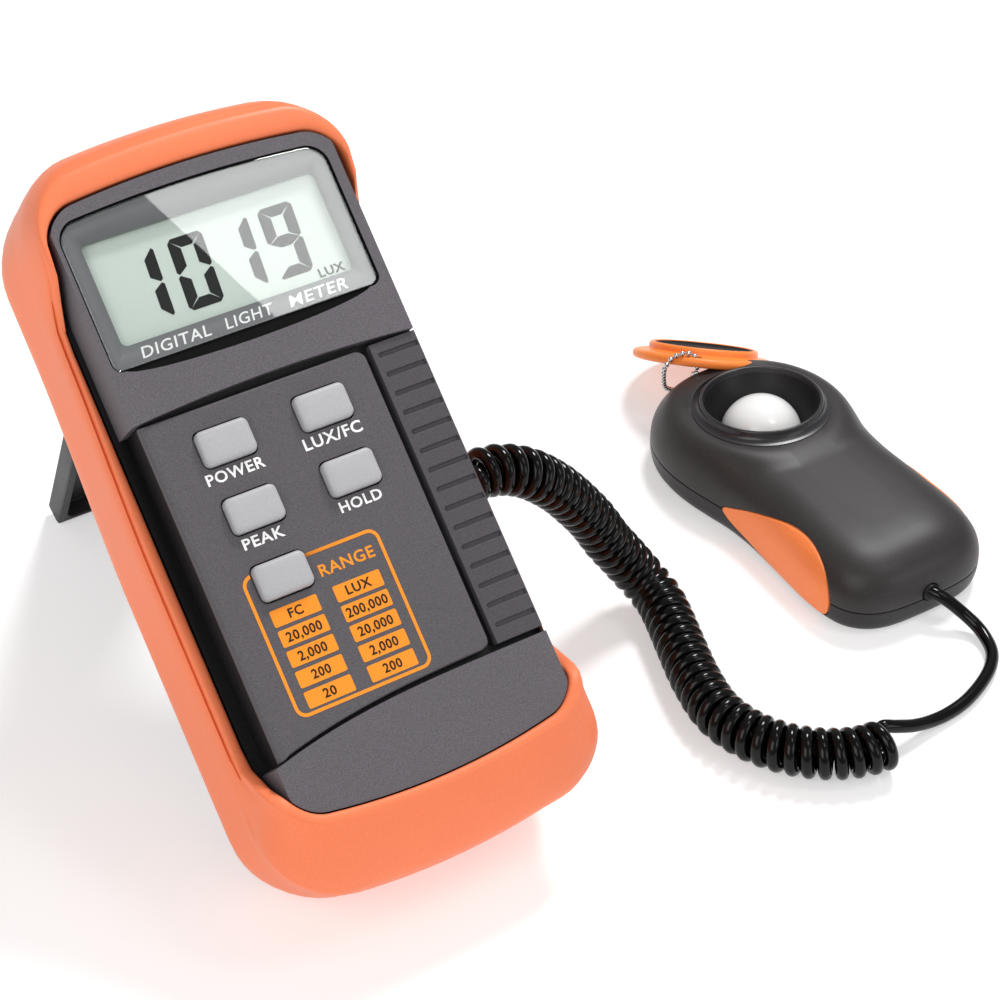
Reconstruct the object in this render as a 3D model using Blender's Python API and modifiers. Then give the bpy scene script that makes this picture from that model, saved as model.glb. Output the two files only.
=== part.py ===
"""Handheld light meter: a meter in a rubber holster on its tilt stand, a corded light sensor and its cap.

Lengths are in millimetres and are turned into metres as each mesh is made. The meter is drawn flat in its own
frame (u across, v up the body, n out of its face) and then leans back on the stand. The sensor and its cap
have frames of their own on the floor.
"""
import math

import bmesh
import bpy
from mathutils import Matrix, Vector

MM = 0.001
GAP = 0.3  # between pieces that touch

# where things stand, with the middle of the footprint at the origin
CENTRE_X = 58.2
CENTRE_Y = 52.719
LEAN = math.radians(41.36)  # of the meter's back above the floor
SENSOR_AT = (128.3, 38.6)
CAP_AT = (133.1, 91.5, 8.36)
CAP_TILT = math.radians(32.3)
CAP_HEADING = math.radians(-36.2)

# the meter
FACE_DISPLAY = 37.6
FACE_KEYPAD = 36.8
FACE_FOOT = 37.2
FACE_HALF_W = 29.6
LEDGE = 27.0
DECK = 34.5
CASE_BACK = 2.0
SPLIT = 18.5
WALL = 2.0
LIP_SIDE = 27.4
LIP_END = 38.0
BUTTON_W = 10.6
BUTTON_H = 6.9
BUTTON_TOP = 38.5
COLUMN_L = -14.2
COLUMN_R = 6.1
ROWS = (80.0, 66.7, 53.4)
BUTTONS = {
    "power": (COLUMN_L, ROWS[0]),
    "lux_fc": (COLUMN_R, ROWS[0]),
    "peak": (COLUMN_L, ROWS[1]),
    "hold": (COLUMN_R, ROWS[1]),
    "range": (COLUMN_L, ROWS[2]),
}
GRIP_SLOTS = 15
GRIP_PITCH = 3.95

# the tilt stand
HINGE_V = 118.5
HINGE_N = 5.2
LEG = 91.16
LEG_HALF_W = 15.8
LEG_HALF_T = 2.8
STAND_OPEN = math.radians(75.3)

# the two cells and their door
CELL_R = 5.2
CELL_HALF = 21.9
CELLS = {"low": (13.2, 10.6), "top": (19.6, 19.3)}
DOOR = (-25.2, 25.2, 6.3, 25.5)

# the cord's way out of the meter
CORD_V = 60.0
CORD_N = 14.0
COIL_R = 5.2
WIRE_R = 1.4

# the sensor
SEAM_Z = 6.2
RING_Y = 19.7
RING_Z = 19.5
RING_TILT = math.radians(-5.0)
SENSOR_HALF_W = 23.4
SENSOR_HALF_L = 43.0
SENSOR_HALF = (
    (0, -41.5), (7, -41.3), (12.1, -40.4), (16, -38.4), (18.8, -35.1), (20.2, -30.5), (20.7, -24.8),
    (20.5, -18), (20.1, -10), (19.9, -3), (20.5, 4), (21.8, 10), (23.0, 16), (23.4, 22),
    (22.6, 28), (20.3, 33.5), (16.5, 38), (11.3, 41.2), (5.6, 42.7), (0, 43.0),
)

COIL_PATH = (
    (40.4, 35.9, 50.2), (44.9, 35.8, 50.0), (49.5, 35.5, 48.6), (54, 35.3, 45), (59.5, 35.8, 39.2),
    (64.2, 36, 33), (68.3, 35.9, 27), (72.2, 35.7, 21), (75.4, 35.2, 16), (78.2, 34.0, 11.3),
    (80.1, 31.6, 7.6), (80.6, 27.6, 5.7), (79.0, 21.8, 5.3), (76.2, 13.6, 5.3), (73.0, 3.6, 5.3),
    (71.0, -6.4, 5.3), (72.2, -14.4, 5.3), (75.0, -20.6, 5.3), (78.8, -25.4, 5.3), (83.2, -29, 5.3),
    (88.2, -31.2, 5.3), (93.4, -32, 5.3),
)
LEAD_PATH = (
    (93.8, -32.0, 4.3), (97.2, -31.5, 3.9), (101, -30.7, 3.0), (105, -30.3, 2.0), (110, -30.3, 1.6),
    (115, -29.9, 1.6), (120, -28.8, 1.6), (125, -26.5, 1.6), (129.2, -22.9, 1.7), (131.9, -18.5, 2.1),
    (132.4, -14, 3.3), (131.0, -10.2, 5.2), (129.4, -7.6, 6.7), (128.5, -5.3, 7.4),
)


# ---------------------------------------------------------------- scene
for old in list(bpy.data.objects):
    bpy.data.objects.remove(old, do_unlink=True)

PARTS = bpy.data.collections.new("light_meter")
CUTTERS = bpy.data.collections.new("cutters")
FRAMES = bpy.data.collections.new("frames")
for group in (PARTS, CUTTERS, FRAMES):
    bpy.context.scene.collection.children.link(group)


def empty(name, location=(0, 0, 0), matrix=None, parent=None):
    """A frame that pieces are parented to, at a place in millimetres."""
    obj = bpy.data.objects.new(name, None)
    FRAMES.objects.link(obj)
    obj.parent = parent
    turn = matrix or Matrix.Identity(4)
    obj.matrix_local = Matrix.Translation(Vector(location) * MM) @ turn
    return obj


METER = empty("meter_frame", (-CENTRE_X, -CENTRE_Y, 0), Matrix.Rotation(LEAN, 4, "X"))
STAND = empty(
    "stand_frame", (0, HINGE_V, HINGE_N), Matrix.Rotation(STAND_OPEN, 4, "X"), METER
)
FLOOR = empty("floor_frame", (-CENTRE_X, -CENTRE_Y, 0))
SENSOR = empty("sensor_frame", (SENSOR_AT[0], SENSOR_AT[1], 0), None, FLOOR)
RING = empty("ring_frame", (0, RING_Y, RING_Z), Matrix.Rotation(RING_TILT, 4, "X"), SENSOR)
CAP_TURN = Matrix.Rotation(CAP_HEADING, 4, "Z") @ Matrix.Rotation(-CAP_TILT, 4, "X")
CAP = empty("cap_frame", CAP_AT, CAP_TURN, FLOOR)


def material(name, colour, rough, metal=0.0):
    mat = bpy.data.materials.new(name)
    mat.use_nodes = True
    shader = mat.node_tree.nodes["Principled BSDF"]
    shader.inputs["Base Color"].default_value = (*colour, 1.0)
    shader.inputs["Roughness"].default_value = rough
    shader.inputs["Metallic"].default_value = metal
    return mat


# ---------------------------------------------------------------- mesh helpers
def finish(bm, name, parent, mat=None, at=(0, 0, 0), turn=None, cutter=False, angle=35.0):
    """Turns a bmesh in millimetres into a named object at a place and turn in its frame."""
    bmesh.ops.scale(bm, vec=(MM, MM, MM), verts=bm.verts)
    mesh = bpy.data.meshes.new(name)
    bm.to_mesh(mesh)
    bm.free()
    obj = bpy.data.objects.new(name, mesh)
    if not cutter:
        mesh.shade_smooth()
        mesh.set_sharp_from_angle(angle=math.radians(angle))
    return place(obj, parent, mat, at, turn, cutter)


def place(obj, parent, mat, at, turn, cutter):
    """Puts an object in its collection and frame, with its material."""
    (CUTTERS if cutter else PARTS).objects.link(obj)
    obj.parent = parent
    obj.matrix_local = Matrix.Translation(Vector(at) * MM) @ (turn or Matrix.Identity(4))
    if cutter:
        obj.hide_render = True
        obj.display_type = "WIRE"
    else:
        obj.data.materials.append(mat)
    return obj


def round_edges(obj, width, segments=2):
    step = obj.modifiers.new("edges", "BEVEL")
    step.width = width * MM
    step.segments = segments
    step.limit_method = "ANGLE"
    step.angle_limit = math.radians(40)


def loft(name, rings, parent, mat=None, closed=False, cutter=False):
    """Skins a list of rings of points, capping both ends unless the rings close on themselves."""
    bm = bmesh.new()
    rows = [[bm.verts.new(p) for p in ring] for ring in rings]
    n = len(rows[0])
    pairs = list(zip(rows, rows[1:]))
    if closed:
        pairs.append((rows[-1], rows[0]))
    for low, high in pairs:
        for i in range(n):
            j = (i + 1) % n
            bm.faces.new((low[i], low[j], high[j], high[i]))
    if not closed:
        bm.faces.new(rows[0][::-1])
        bm.faces.new(rows[-1])
    bmesh.ops.recalc_face_normals(bm, faces=bm.faces)
    return finish(bm, name, parent, mat, cutter=cutter)


def box(name, bounds, parent, mat=None, at=(0, 0, 0), bevel=0.0, cutter=False, segments=2):
    """A block from its two corners (x0, x1, y0, y1, z0, z1) in its frame, with its edges rounded."""
    low = Vector(bounds[0::2])
    high = Vector(bounds[1::2])
    bm = bmesh.new()
    bmesh.ops.create_cube(bm, size=1.0)
    bmesh.ops.scale(bm, vec=high - low, verts=bm.verts)
    bmesh.ops.translate(bm, vec=(low + high) / 2 - Vector(at), verts=bm.verts)
    obj = finish(bm, name, parent, mat, at, cutter=cutter)
    if bevel:
        round_edges(obj, bevel, segments)
    return obj


def prism(name, outline, z0, z1, parent, mat=None, bevel=0.0, cutter=False):
    """A flat outline, listed anticlockwise, thickened from z1 down to z0."""
    bm = bmesh.new()
    bm.faces.new([bm.verts.new((x, y, z1)) for x, y in outline])
    obj = finish(bm, name, parent, mat, cutter=cutter)
    step = obj.modifiers.new("thickness", "SOLIDIFY")
    step.thickness = (z1 - z0) * MM
    step.offset = -1
    if bevel:
        round_edges(obj, bevel, 1)
    return obj


def shrink(outline, amount):
    """The outline moved in by a small amount, each corner along its two sides' middle."""
    moved = []
    n = len(outline)
    for i in range(n):
        before, here, after = (Vector(outline[(i + k) % n]) for k in (-1, 0, 1))
        a = (here - before).normalized()
        b = (after - here).normalized()
        normal = Vector((-(a.y + b.y), a.x + b.x)).normalized()
        scale = amount / max(0.4, normal.dot(Vector((-a.y, a.x))))
        moved.append(tuple(here + normal * scale))
    return moved


def turned(name, profile, parent, mat=None, at=(0, 0, 0), steps=32, cutter=False, turn=None):
    """A closed profile of (radius, height) points turned round the frame's Z, and then laid along `turn`."""
    open_ended = profile[0][0] == 0 and profile[-1][0] == 0
    closed = list(profile) + ([] if open_ended else [profile[0]])
    area = sum(a[0] * b[1] - b[0] * a[1] for a, b in zip(closed, closed[1:]))
    if area > 0:
        closed.reverse()
    bm = bmesh.new()
    line = [bm.verts.new((radius, 0, height)) for radius, height in closed]
    for a, b in zip(line, line[1:]):
        bm.edges.new((a, b))
    bmesh.ops.remove_doubles(bm, verts=bm.verts, dist=1e-4)
    obj = finish(bm, name, parent, mat, at, turn, cutter)
    step = obj.modifiers.new("turn", "SCREW")
    step.axis = "Z"
    step.steps = steps
    step.render_steps = steps
    step.use_merge_vertices = True
    step.merge_threshold = 1e-6
    step.use_smooth_shade = not cutter
    return obj


def boolean(target, other, operation):
    """Joins or cuts one mesh with another."""
    step = target.modifiers.new(operation.lower(), "BOOLEAN")
    step.operation = operation
    step.solver = "EXACT"
    step.object = other


def cut(target, *others):
    for other in others:
        boolean(target, other, "DIFFERENCE")


def add(target, *others):
    for other in others:
        boolean(target, other, "UNION")


def smooth_path(points, per=4):
    """Points on a smooth curve through the given ones."""
    p = [Vector(q) for q in points]
    p = [2 * p[0] - p[1]] + p + [2 * p[-1] - p[-2]]
    out = []
    for i in range(1, len(p) - 2):
        for k in range(per):
            t = k / per
            a, b, c, d = p[i - 1], p[i], p[i + 1], p[i + 2]
            out.append(
                0.5
                * (2 * b + (c - a) * t + (2 * a - 5 * b + 4 * c - d) * t**2 + (3 * b - a - 3 * c + d) * t**3)
            )
    return out + [p[-2]]


def tube(name, points, radius, parent, mat, sides=8, closed=False):
    """A round wire along a path: a curve with a round section and filled ends."""
    data = bpy.data.curves.new(name, "CURVE")
    data.dimensions = "3D"
    data.bevel_depth = radius * MM
    data.bevel_resolution = sides // 2 - 2
    data.use_fill_caps = not closed
    data.render_resolution_u = 0
    line = data.splines.new("POLY")
    line.points.add(len(points) - 1)
    for knot, p in zip(line.points, points):
        knot.co = (*(Vector(p) * MM), 1)
    line.use_cyclic_u = closed
    return place(bpy.data.objects.new(name, data), parent, mat, (0, 0, 0), None, False)


def bowed(a, vb, vt, rb, rt, bow_b=0.0, bow_t=0.0, edge=6, corner=5, side=8):
    """A rounded rectangle centred across u, whose two ends bulge out; every call gives the same stations."""
    pts = []
    for i in range(edge + 1):
        pts.append((-(a - rb) + 2 * (a - rb) * i / edge, vb))
    for i in range(1, corner + 1):
        t = math.radians(-90 + 90 * i / corner)
        pts.append((a - rb + rb * math.cos(t), vb + rb + rb * math.sin(t)))
    for i in range(1, side + 1):
        pts.append((a, vb + rb + (vt - rt - vb - rb) * i / side))
    for i in range(1, corner + 1):
        t = math.radians(90 * i / corner)
        pts.append((a - rt + rt * math.cos(t), vt - rt + rt * math.sin(t)))
    for i in range(1, edge + 1):
        pts.append(((a - rt) - 2 * (a - rt) * i / edge, vt))
    for i in range(1, corner + 1):
        t = math.radians(90 + 90 * i / corner)
        pts.append((-(a - rt) + rt * math.cos(t), vt - rt + rt * math.sin(t)))
    for i in range(1, side + 1):
        pts.append((-a, vt - rt - (vt - rt - vb - rb) * i / side))
    for i in range(1, corner):
        t = math.radians(180 + 90 * i / corner)
        pts.append((-(a - rb) + rb * math.cos(t), vb + rb + rb * math.sin(t)))
    out = []
    for u, v in pts:
        low = max(0.0, min(1.0, (vb + rb - v) / rb))
        high = max(0.0, min(1.0, (v - vt + rt) / rt))
        bulge = 1 - (u / a) ** 2
        out.append((u, v - bow_b * bulge * low + bow_t * bulge * high))
    return out


def mix(a, b, t):
    return [(p[0] + (q[0] - p[0]) * t, p[1] + (q[1] - p[1]) * t) for p, q in zip(a, b)]


def at_n(outline, n):
    return [(u, v, n) for u, v in outline]


def ease(t):
    t = max(0.0, min(1.0, t))
    return t * t * (3 - 2 * t)


# ---------------------------------------------------------------- the meter's outlines
def case_back(g=0.0):
    return bowed(29.2 + g, 3.0 - g, 133.5 + g, 8 + g, 9 + g)


def case_low(g=0.0):
    return bowed(31.6 + g, 1.6 - g, 136 + g, 11 + g, 11 + g, 1.5, 1.5)


def case_mid(g=0.0):
    return bowed(32.5 + g, 0.8 - g, 136.5 + g, 12 + g, 12 + g, 2.4, 2.0)


def opening(g=0.0):
    """The holster's front opening."""
    return bowed(30.9 + g, 12.0 - g, 130.6 + g, 7 + g, 7 + g, 3.4, 2.2)


def ridge():
    return bowed(33.3, 9.8, 134.6, 9.5, 10, 3.2, 2.6)


def bulge():
    return bowed(34.7, -2.2, 140.0, 14, 15, 4.0, 3.0)


def shoulder():
    """Just below the crest, where the rim stands out further round its lower corners."""
    outline = bowed(34.35, -1.8, 138.7, 11.5, 14, 2.8, 2.9)
    return [(u * (1 + 0.035 * ease((16 - v) / 8)), v) for u, v in outline]


def belly(n):
    """The holster's outline below its widest ends, as far as its underside."""
    t = n / 12
    low = -2.7 * t**0.5
    high = 136 + 3.5 * t**0.6
    return bowed(31 + 4.3 * t**0.7, low, high, 12 + 4 * t, 11 + 3 * t, 2.5 * t, 2.5 * t)


def lip_height(v):
    low = ease((26.0 - v) / 12.0)
    high = ease((v - 110.0) / 14.0)
    return LIP_SIDE + (LIP_END - LIP_SIDE) * max(low, high)


ORANGE = material("holster_rubber", (0.93, 0.25, 0.07), 0.45)
CASE = material("case_plastic", (0.10, 0.095, 0.10), 0.55)
CASE_REAR = material("rear_case_plastic", (0.07, 0.067, 0.07), 0.6)


def holster():
    """A rubber shell with one opening at the front and one at the back, its rim higher at both ends."""
    back = bowed(26.2, 5.4, 129.5, 2.0, 6)
    top = [lip_height(v) for _, v in ridge()]
    inner, crest, outer = opening(), ridge(), bulge()

    def lifted(outline, levels):
        return [(u, v, n) for (u, v), n in zip(outline, levels)]

    rings = [
        at_n(back, 0.0),
        at_n(back, 1.7),
        at_n(case_back(GAP), 1.7),
        at_n(case_low(GAP), 8.0),
        at_n(case_mid(GAP), 14.0),
        at_n(case_mid(GAP), 24.6),
        at_n(inner, 24.6),
        lifted(inner, [t - 0.8 for t in top]),
        lifted(mix(inner, crest, 0.3), [t - 0.1 for t in top]),
        lifted(mix(inner, crest, 0.85), top),
        lifted(mix(crest, outer, 0.05), [t - 0.5 for t in top]),
        lifted(mix(crest, outer, 0.4), [24 + (t - 24) * 0.80 for t in top]),
        lifted(shoulder(), [24 + (t - 24) * 0.45 for t in top]),
        at_n(outer, 24.0),
        at_n(mix(outer, belly(12.0), 0.55), 18.0),
        at_n(belly(12.0), 12.0),
        at_n(belly(6.0), 6.0),
        at_n(belly(2.0), 2.0),
        at_n(belly(0.0), 0.0),
    ]
    body = loft("holster", rings, METER, ORANGE, closed=True)
    hole = turned(
        "holster_cord_hole", cylinder(4.0, 8.0), METER, at=(38, CORD_V, CORD_N), cutter=True, turn=ALONG_U
    )
    cut(body, hole)
    return body


def cylinder(radius, half):
    return ((0, -half), (radius, -half), (radius, half), (0, half))


ALONG_U = Matrix.Rotation(math.radians(90), 4, "Y")
ALONG_V = Matrix.Rotation(math.radians(-90), 4, "X")


def foot_edge(u):
    """The curved upper edge of the face's foot panel."""
    return 25.8 - (5.1 * ((20 - u) / 52.6) ** 3 if u < 20 else 0.0)


def display_edge(u):
    """The arched lower edge of the display block."""
    return 88.3 + 1.3 * (1 - (u / FACE_HALF_W) ** 2)


def display_outline(g=0.0):
    a = FACE_HALF_W + g
    top = [(u, v) for u, v in opening(-GAP + g) if v > 118]
    top = [(max(-a, min(a, u)), v) for u, v in top]
    low = []
    for i in range(13):
        t = i / 6 - 1
        low.append((a * t, display_edge(FACE_HALF_W * t) - g))
    return low + top


def foot_outline(g=0.0):
    a = FACE_HALF_W + g
    high = [(a - 2 * a * i / 16, foot_edge(FACE_HALF_W - 2 * FACE_HALF_W * i / 16) + g) for i in range(17)]
    ends = [(u, v) for u, v in opening(-GAP + g) if v < 17]
    ends = [(max(-a, min(a, u)), v) for u, v in ends]
    ends.sort(key=lambda p: math.atan2(p[1] - 17, p[0]))
    return ends + high


def case_boss(name, u, v, n0, n1, radius):
    post = cylinder(radius, (n1 - n0) / 2)
    return turned(name, post, METER, at=(u, v, (n0 + n1) / 2), cutter=True, steps=20)


def button_hole(where, name, n0, n1):
    u, v = BUTTONS[name]
    w = BUTTON_W / 2 + GAP
    h = BUTTON_H / 2 + GAP
    return box(f"{where}_hole_{name}", (u - w, u + w, v - h, v + h, n0, n1), METER, cutter=True)


SCREWS = ((-22.5, 31.5), (22.5, 31.5), (-22.5, 130.0), (22.5, 130.0))


def front_case():
    """The front half of the case: a shoulder under the holster's rim, and the raised panels above it."""
    rings = [
        at_n(case_mid(), SPLIT + 0.15),
        at_n(case_mid(), 24.2),
        at_n(opening(-GAP), 24.2),
        at_n(opening(-GAP), LEDGE),
    ]
    body = loft("front_case", rings, METER, CASE)
    deck = [(-27.9, 20.0), (29.5, 20.0), (29.5, 92.0), (-27.9, 92.0)]
    add(
        body,
        prism("case_display", display_outline(), 26.0, FACE_DISPLAY, METER, bevel=0.4, cutter=True),
        prism("case_foot", foot_outline(), 26.05, FACE_FOOT, METER, bevel=0.35, cutter=True),
        prism("case_deck", deck, 26.1, DECK, METER, cutter=True),
    )
    inside = [
        at_n(case_mid(-WALL), SPLIT - 1),
        at_n(case_mid(-WALL), 22.2),
        at_n(opening(-GAP - WALL), 22.2),
        at_n(opening(-GAP - WALL), 25.0),
    ]
    cut(body, loft("case_inside", inside, METER, cutter=True))
    cut(body, box("case_inside_display", (-27.6, 27.6, 91.0, 128.6, 24.5, 35.2), METER, cutter=True))
    cut(body, box("case_inside_deck", (-25.9, 27.6, 25.0, 91.1, 24.6, 32.5), METER, cutter=True))
    cut(body, box("case_inside_foot", (-25.9, 27.5, 12.4, 25.1, 24.7, 34.9), METER, cutter=True))
    for i, (u, v) in enumerate(SCREWS):
        add(body, case_boss(f"front_boss_{i}", u, v, 18.9, 23.5 if v > 100 else 33.0, 3.0))
    cut(body, prism("window_recess", window_outline(0.25), 36.1, 39, METER, cutter=True))
    cut(body, box("window_opening", (-25.2, 25.2, 102.2, 124.3, 34, 38), METER, cutter=True))
    for name in BUTTONS:
        cut(body, button_hole("deck", name, 30, 36))
    for i, (u, v) in enumerate(SCREWS):
        pilot = cylinder(1.5, 5.25)
        cut(body, turned(f"front_pilot_{i}", pilot, METER, at=(u, v, 17.2), cutter=True, steps=14))
    return body


def window_outline(g=0.0):
    """The display window, with a slightly arched upper edge."""
    outline = bowed(27.7 + g, 98.8 - g, 127.4 + g, 1.2 + g, 3.6 + g, 0.0, 0.9, edge=8, corner=4, side=2)
    return [(u - 0.5, v) for u, v in outline]


def rear_case():
    """The rear half: a tray with a long pocket for the folded stand and a battery bay at its foot."""
    rings = [
        at_n(case_back(), CASE_BACK),
        at_n(case_low(), 8.0),
        at_n(case_mid(), 14.0),
        at_n(case_mid(), SPLIT - 0.15),
    ]
    body = loft("rear_case", rings, METER, CASE_REAR)
    inside = [
        at_n(case_back(-WALL), 4.0),
        at_n(case_low(-WALL), 8.0),
        at_n(case_mid(-WALL), 14.0),
        at_n(case_mid(-WALL), 20.0),
    ]
    cut(body, loft("rear_inside", inside, METER, cutter=True))
    add(body, box("stand_pocket_wall", (-18.4, 18.4, 26.0, 124.8, 3.0, 10.4), METER, cutter=True))
    add(body, box("battery_frame", (-27.4, 27.4, 5.6, 26.5, 3.1, 6.0), METER, cutter=True))
    for i, (u, v) in enumerate(SCREWS):
        add(body, case_boss(f"rear_boss_{i}", u, v, 3.2, 18.0, 3.6))
    cut(body, box("stand_pocket", (-16.6, 16.6, 26.9, 123.0, 0, 8.7), METER, cutter=True))
    cut(body, box("battery_recess", (-25.6, 25.6, 5.95, 25.9, 0, 4.15), METER, cutter=True))
    cut(body, box("battery_opening", (-24.7, 24.7, 6.8, 25.1, 1, 7), METER, cutter=True))
    for i, (u, v) in enumerate(SCREWS):
        hole = ((0, -1), (2.9, -1), (2.9, 4.4), (1.5, 4.4), (1.5, 19.0), (0, 19.0))
        cut(body, turned(f"screw_hole_{i}", hole, METER, at=(u, v, 0), cutter=True, steps=14))
    pin_at = (0, HINGE_V, HINGE_N)
    cord_at = (33, CORD_V, CORD_N)
    cut(body, turned("pin_hole", cylinder(1.4, 19.5), METER, at=pin_at, steps=16, cutter=True, turn=ALONG_U))
    cut(body, turned("case_cord_hole", cylinder(3.7, 4.0), METER, at=cord_at, cutter=True, turn=ALONG_U))
    return body


def keypad_panel():
    """The raised keypad plate beside the side grip, with a hole for each button."""
    low = []
    for i in range(13):
        u = -28.3 + 44.6 * i / 12
        low.append((u, foot_edge(u) + 0.5 + 0.05 * i))
    outline = low + [(18.0, 27.6), (18.3, 28.4), (18.3, 87.8), (-28.3, 87.8)]
    rings = [
        [(u, v, DECK + 0.3) for u, v in outline],
        [(u, v, FACE_KEYPAD - 0.6) for u, v in outline],
        [(u + (0.9 if u < -28 else 0.0), v, FACE_KEYPAD) for u, v in outline],
    ]
    plate = loft("keypad_panel", rings, METER, material("keypad_plastic", (0.11, 0.105, 0.115), 0.5))
    for name in BUTTONS:
        cut(plate, button_hole("panel", name, 33, 39))
    return plate


def side_grip():
    """The grip strip on the right, with a row of shallow slots that run out at its edge."""
    outline = [(19.6, 26.9), (29.5, 26.9), (29.5, 88.0), (19.6, 88.0)]
    grey = material("grip_plastic", (0.10, 0.095, 0.10), 0.6)
    strip = prism("side_grip", outline, DECK + 0.3, FACE_KEYPAD, METER, grey, bevel=0.3)
    for i in range(GRIP_SLOTS):
        v = 30.4 + GRIP_PITCH * i
        slot = [(31, v - 0.85), (31, v + 0.85)]
        slot += [
            (21.9 + 0.85 * math.cos(math.radians(a)), v + 0.85 * math.sin(math.radians(a)))
            for a in (90, 135, 180, 225, 270)
        ]
        cut(strip, prism(f"grip_slot_{i}", slot, FACE_KEYPAD - 0.45, 38, METER, cutter=True))
    return strip


def display():
    """The window and what lies under it: frame, display glass, reflector and its two contact strips."""
    clear = material("window_clear", (0.75, 0.78, 0.78), 0.08)
    prism("lcd_window", window_outline(), 36.4, 37.5, METER, clear, bevel=0.2)
    grey = material("bezel_grey", (0.2, 0.2, 0.21), 0.5)
    frame = box("lcd_bezel", (-26.8, 26.8, 100.5, 126.2, 33.9, 34.9), METER, grey)
    cut(frame, box("bezel_opening", (-24.3, 24.3, 103.1, 123.6, 33, 36), METER, cutter=True))
    glass = material("lcd_glass", (0.62, 0.68, 0.62), 0.2)
    box("lcd_panel", (-26.2, 26.2, 101.0, 125.6, 31.7, 33.6), METER, glass, bevel=0.2)
    foil = material("reflector_foil", (0.8, 0.8, 0.78), 0.3, 0.6)
    box("lcd_reflector", (-25.5, 25.5, 103.3, 123.4, 30.6, 31.4), METER, foil, bevel=0.1, segments=1)
    rubber = material("contact_rubber", (0.8, 0.35, 0.45), 0.7)
    dark = material("contact_rubber_low", (0.75, 0.33, 0.42), 0.7)
    box("zebra_strip_top", (-23.0, 23.0, 123.9, 125.3, 25.9, 31.4), METER, rubber, bevel=0.2)
    box("zebra_strip_low", (-23.0, 23.0, 101.3, 102.7, 25.9, 31.4), METER, dark, bevel=0.2)


def electronics():
    """The circuit board with its five key switches, main chip, crystal and trimmer."""
    green = material("pcb_green", (0.02, 0.22, 0.1), 0.4)
    box("main_pcb", (-24.8, 26.6, 35.6, 126.0, 24.0, 25.6), METER, green, bevel=0.15, segments=1)
    for name, (u, v) in BUTTONS.items():
        tone = material(f"switch_{name}_black", (0.03, 0.03, 0.03), 0.5)
        body = box(f"key_switch_{name}", (u - 3, u + 3, v - 3, v + 3, 25.9, 28.2), METER, tone)
        stud = turned(f"key_stud_{name}", cylinder(1.7, 0.9), METER, at=(u, v, 27.9), steps=16, cutter=True)
        add(body, stud)
    black = material("chip_black", (0.02, 0.02, 0.02), 0.4)
    box("main_chip", (10.5, 20.5, 36.8, 46.8, 25.9, 27.9), METER, black, bevel=0.2)
    steel = material("crystal_steel", (0.7, 0.7, 0.72), 0.25, 1.0)
    box("crystal", (-4.0, 6.0, 38.6, 42.2, 25.9, 29.3), METER, steel, bevel=0.8)
    blue = material("trimmer_blue", (0.05, 0.15, 0.5), 0.5)
    box("trimmer", (-20.0, -13.4, 37.4, 44.0, 25.9, 30.2), METER, blue, bevel=0.3)


def button(name, u, v):
    """A key with a shoulder that keeps it in, and a foot over its switch."""
    tone = material(f"button_{name}_grey", (0.55, 0.55, 0.56), 0.5)
    w = BUTTON_W / 2
    h = BUTTON_H / 2
    body = (u - w, u + w, v - h, v + h, 31.3, BUTTON_TOP)
    rim = (u - w - 0.9, u + w + 0.9, v - h - 0.9, v + h + 0.9, 30.9, 32.0)
    foot = (u - 1.5, u + 1.5, v - 1.5, v + 1.5, 30.1, 31.4)
    key = box(f"button_{name}", body, METER, tone, at=(u, v, BUTTON_TOP), bevel=0.7)
    add(key, box(f"button_shoulder_{name}", rim, METER, cutter=True))
    add(key, box(f"button_foot_{name}", foot, METER, cutter=True))
    return key


def battery():
    """Two small round cells across the foot of the case, and the contact plate at their left ends."""
    half, r = CELL_HALF, CELL_R
    profile = (
        (0, -half), (r - 0.5, -half), (r, -half + 0.5), (r, half - 1.2), (r - 0.6, half - 0.8),
        (1.9, half - 0.8), (1.9, half), (0, half),
    )
    for name, (v, n) in CELLS.items():
        tone = material(f"cell_{name}_steel", (0.35, 0.36, 0.38), 0.35, 0.8)
        turned(f"battery_cell_{name}", profile, METER, tone, at=(0, v, n), steps=20, turn=ALONG_U)
    spring = material("contact_steel", (0.7, 0.7, 0.72), 0.3, 1.0)
    plate = (-half - 1.3, -half - 0.4, 8.4, 24.0, 6.4, 21.9)
    box("battery_contact", plate, METER, spring, bevel=0.3, segments=1)


def battery_door():
    """The door plate, let into the back, with a finger groove."""
    u0, u1, v0, v1 = DOOR
    black = material("door_plastic", (0.07, 0.067, 0.07), 0.6)
    middle = (0, (v0 + v1) / 2, 2.1)
    door = box("battery_door", (u0, u1, v0, v1, 2.1, 3.8), METER, black, at=middle, bevel=0.4)
    cut(door, box("door_groove", (-7, 7, v1 - 4.4, v1 - 2.6, 1, 2.9), METER, cutter=True))
    return door


def case_screws():
    for i, (u, v) in enumerate(SCREWS):
        side = "left" if u < 0 else "right"
        end = "top" if v > 100 else "low"
        steel = material(f"screw_steel_{end}_{side}", (0.6, 0.6, 0.62), 0.3, 1.0)
        profile = (
            (0, 2.9), (1.4, 2.9), (1.4, 2.4), (2.4, 2.4), (2.6, 2.8), (2.6, 3.9), (1.2, 4.1), (1.2, 21.2),
            (0, 21.8),
        )
        turned(f"case_screw_{end}_{side}", profile, METER, steel, at=(u, v, 0), steps=20)


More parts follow.
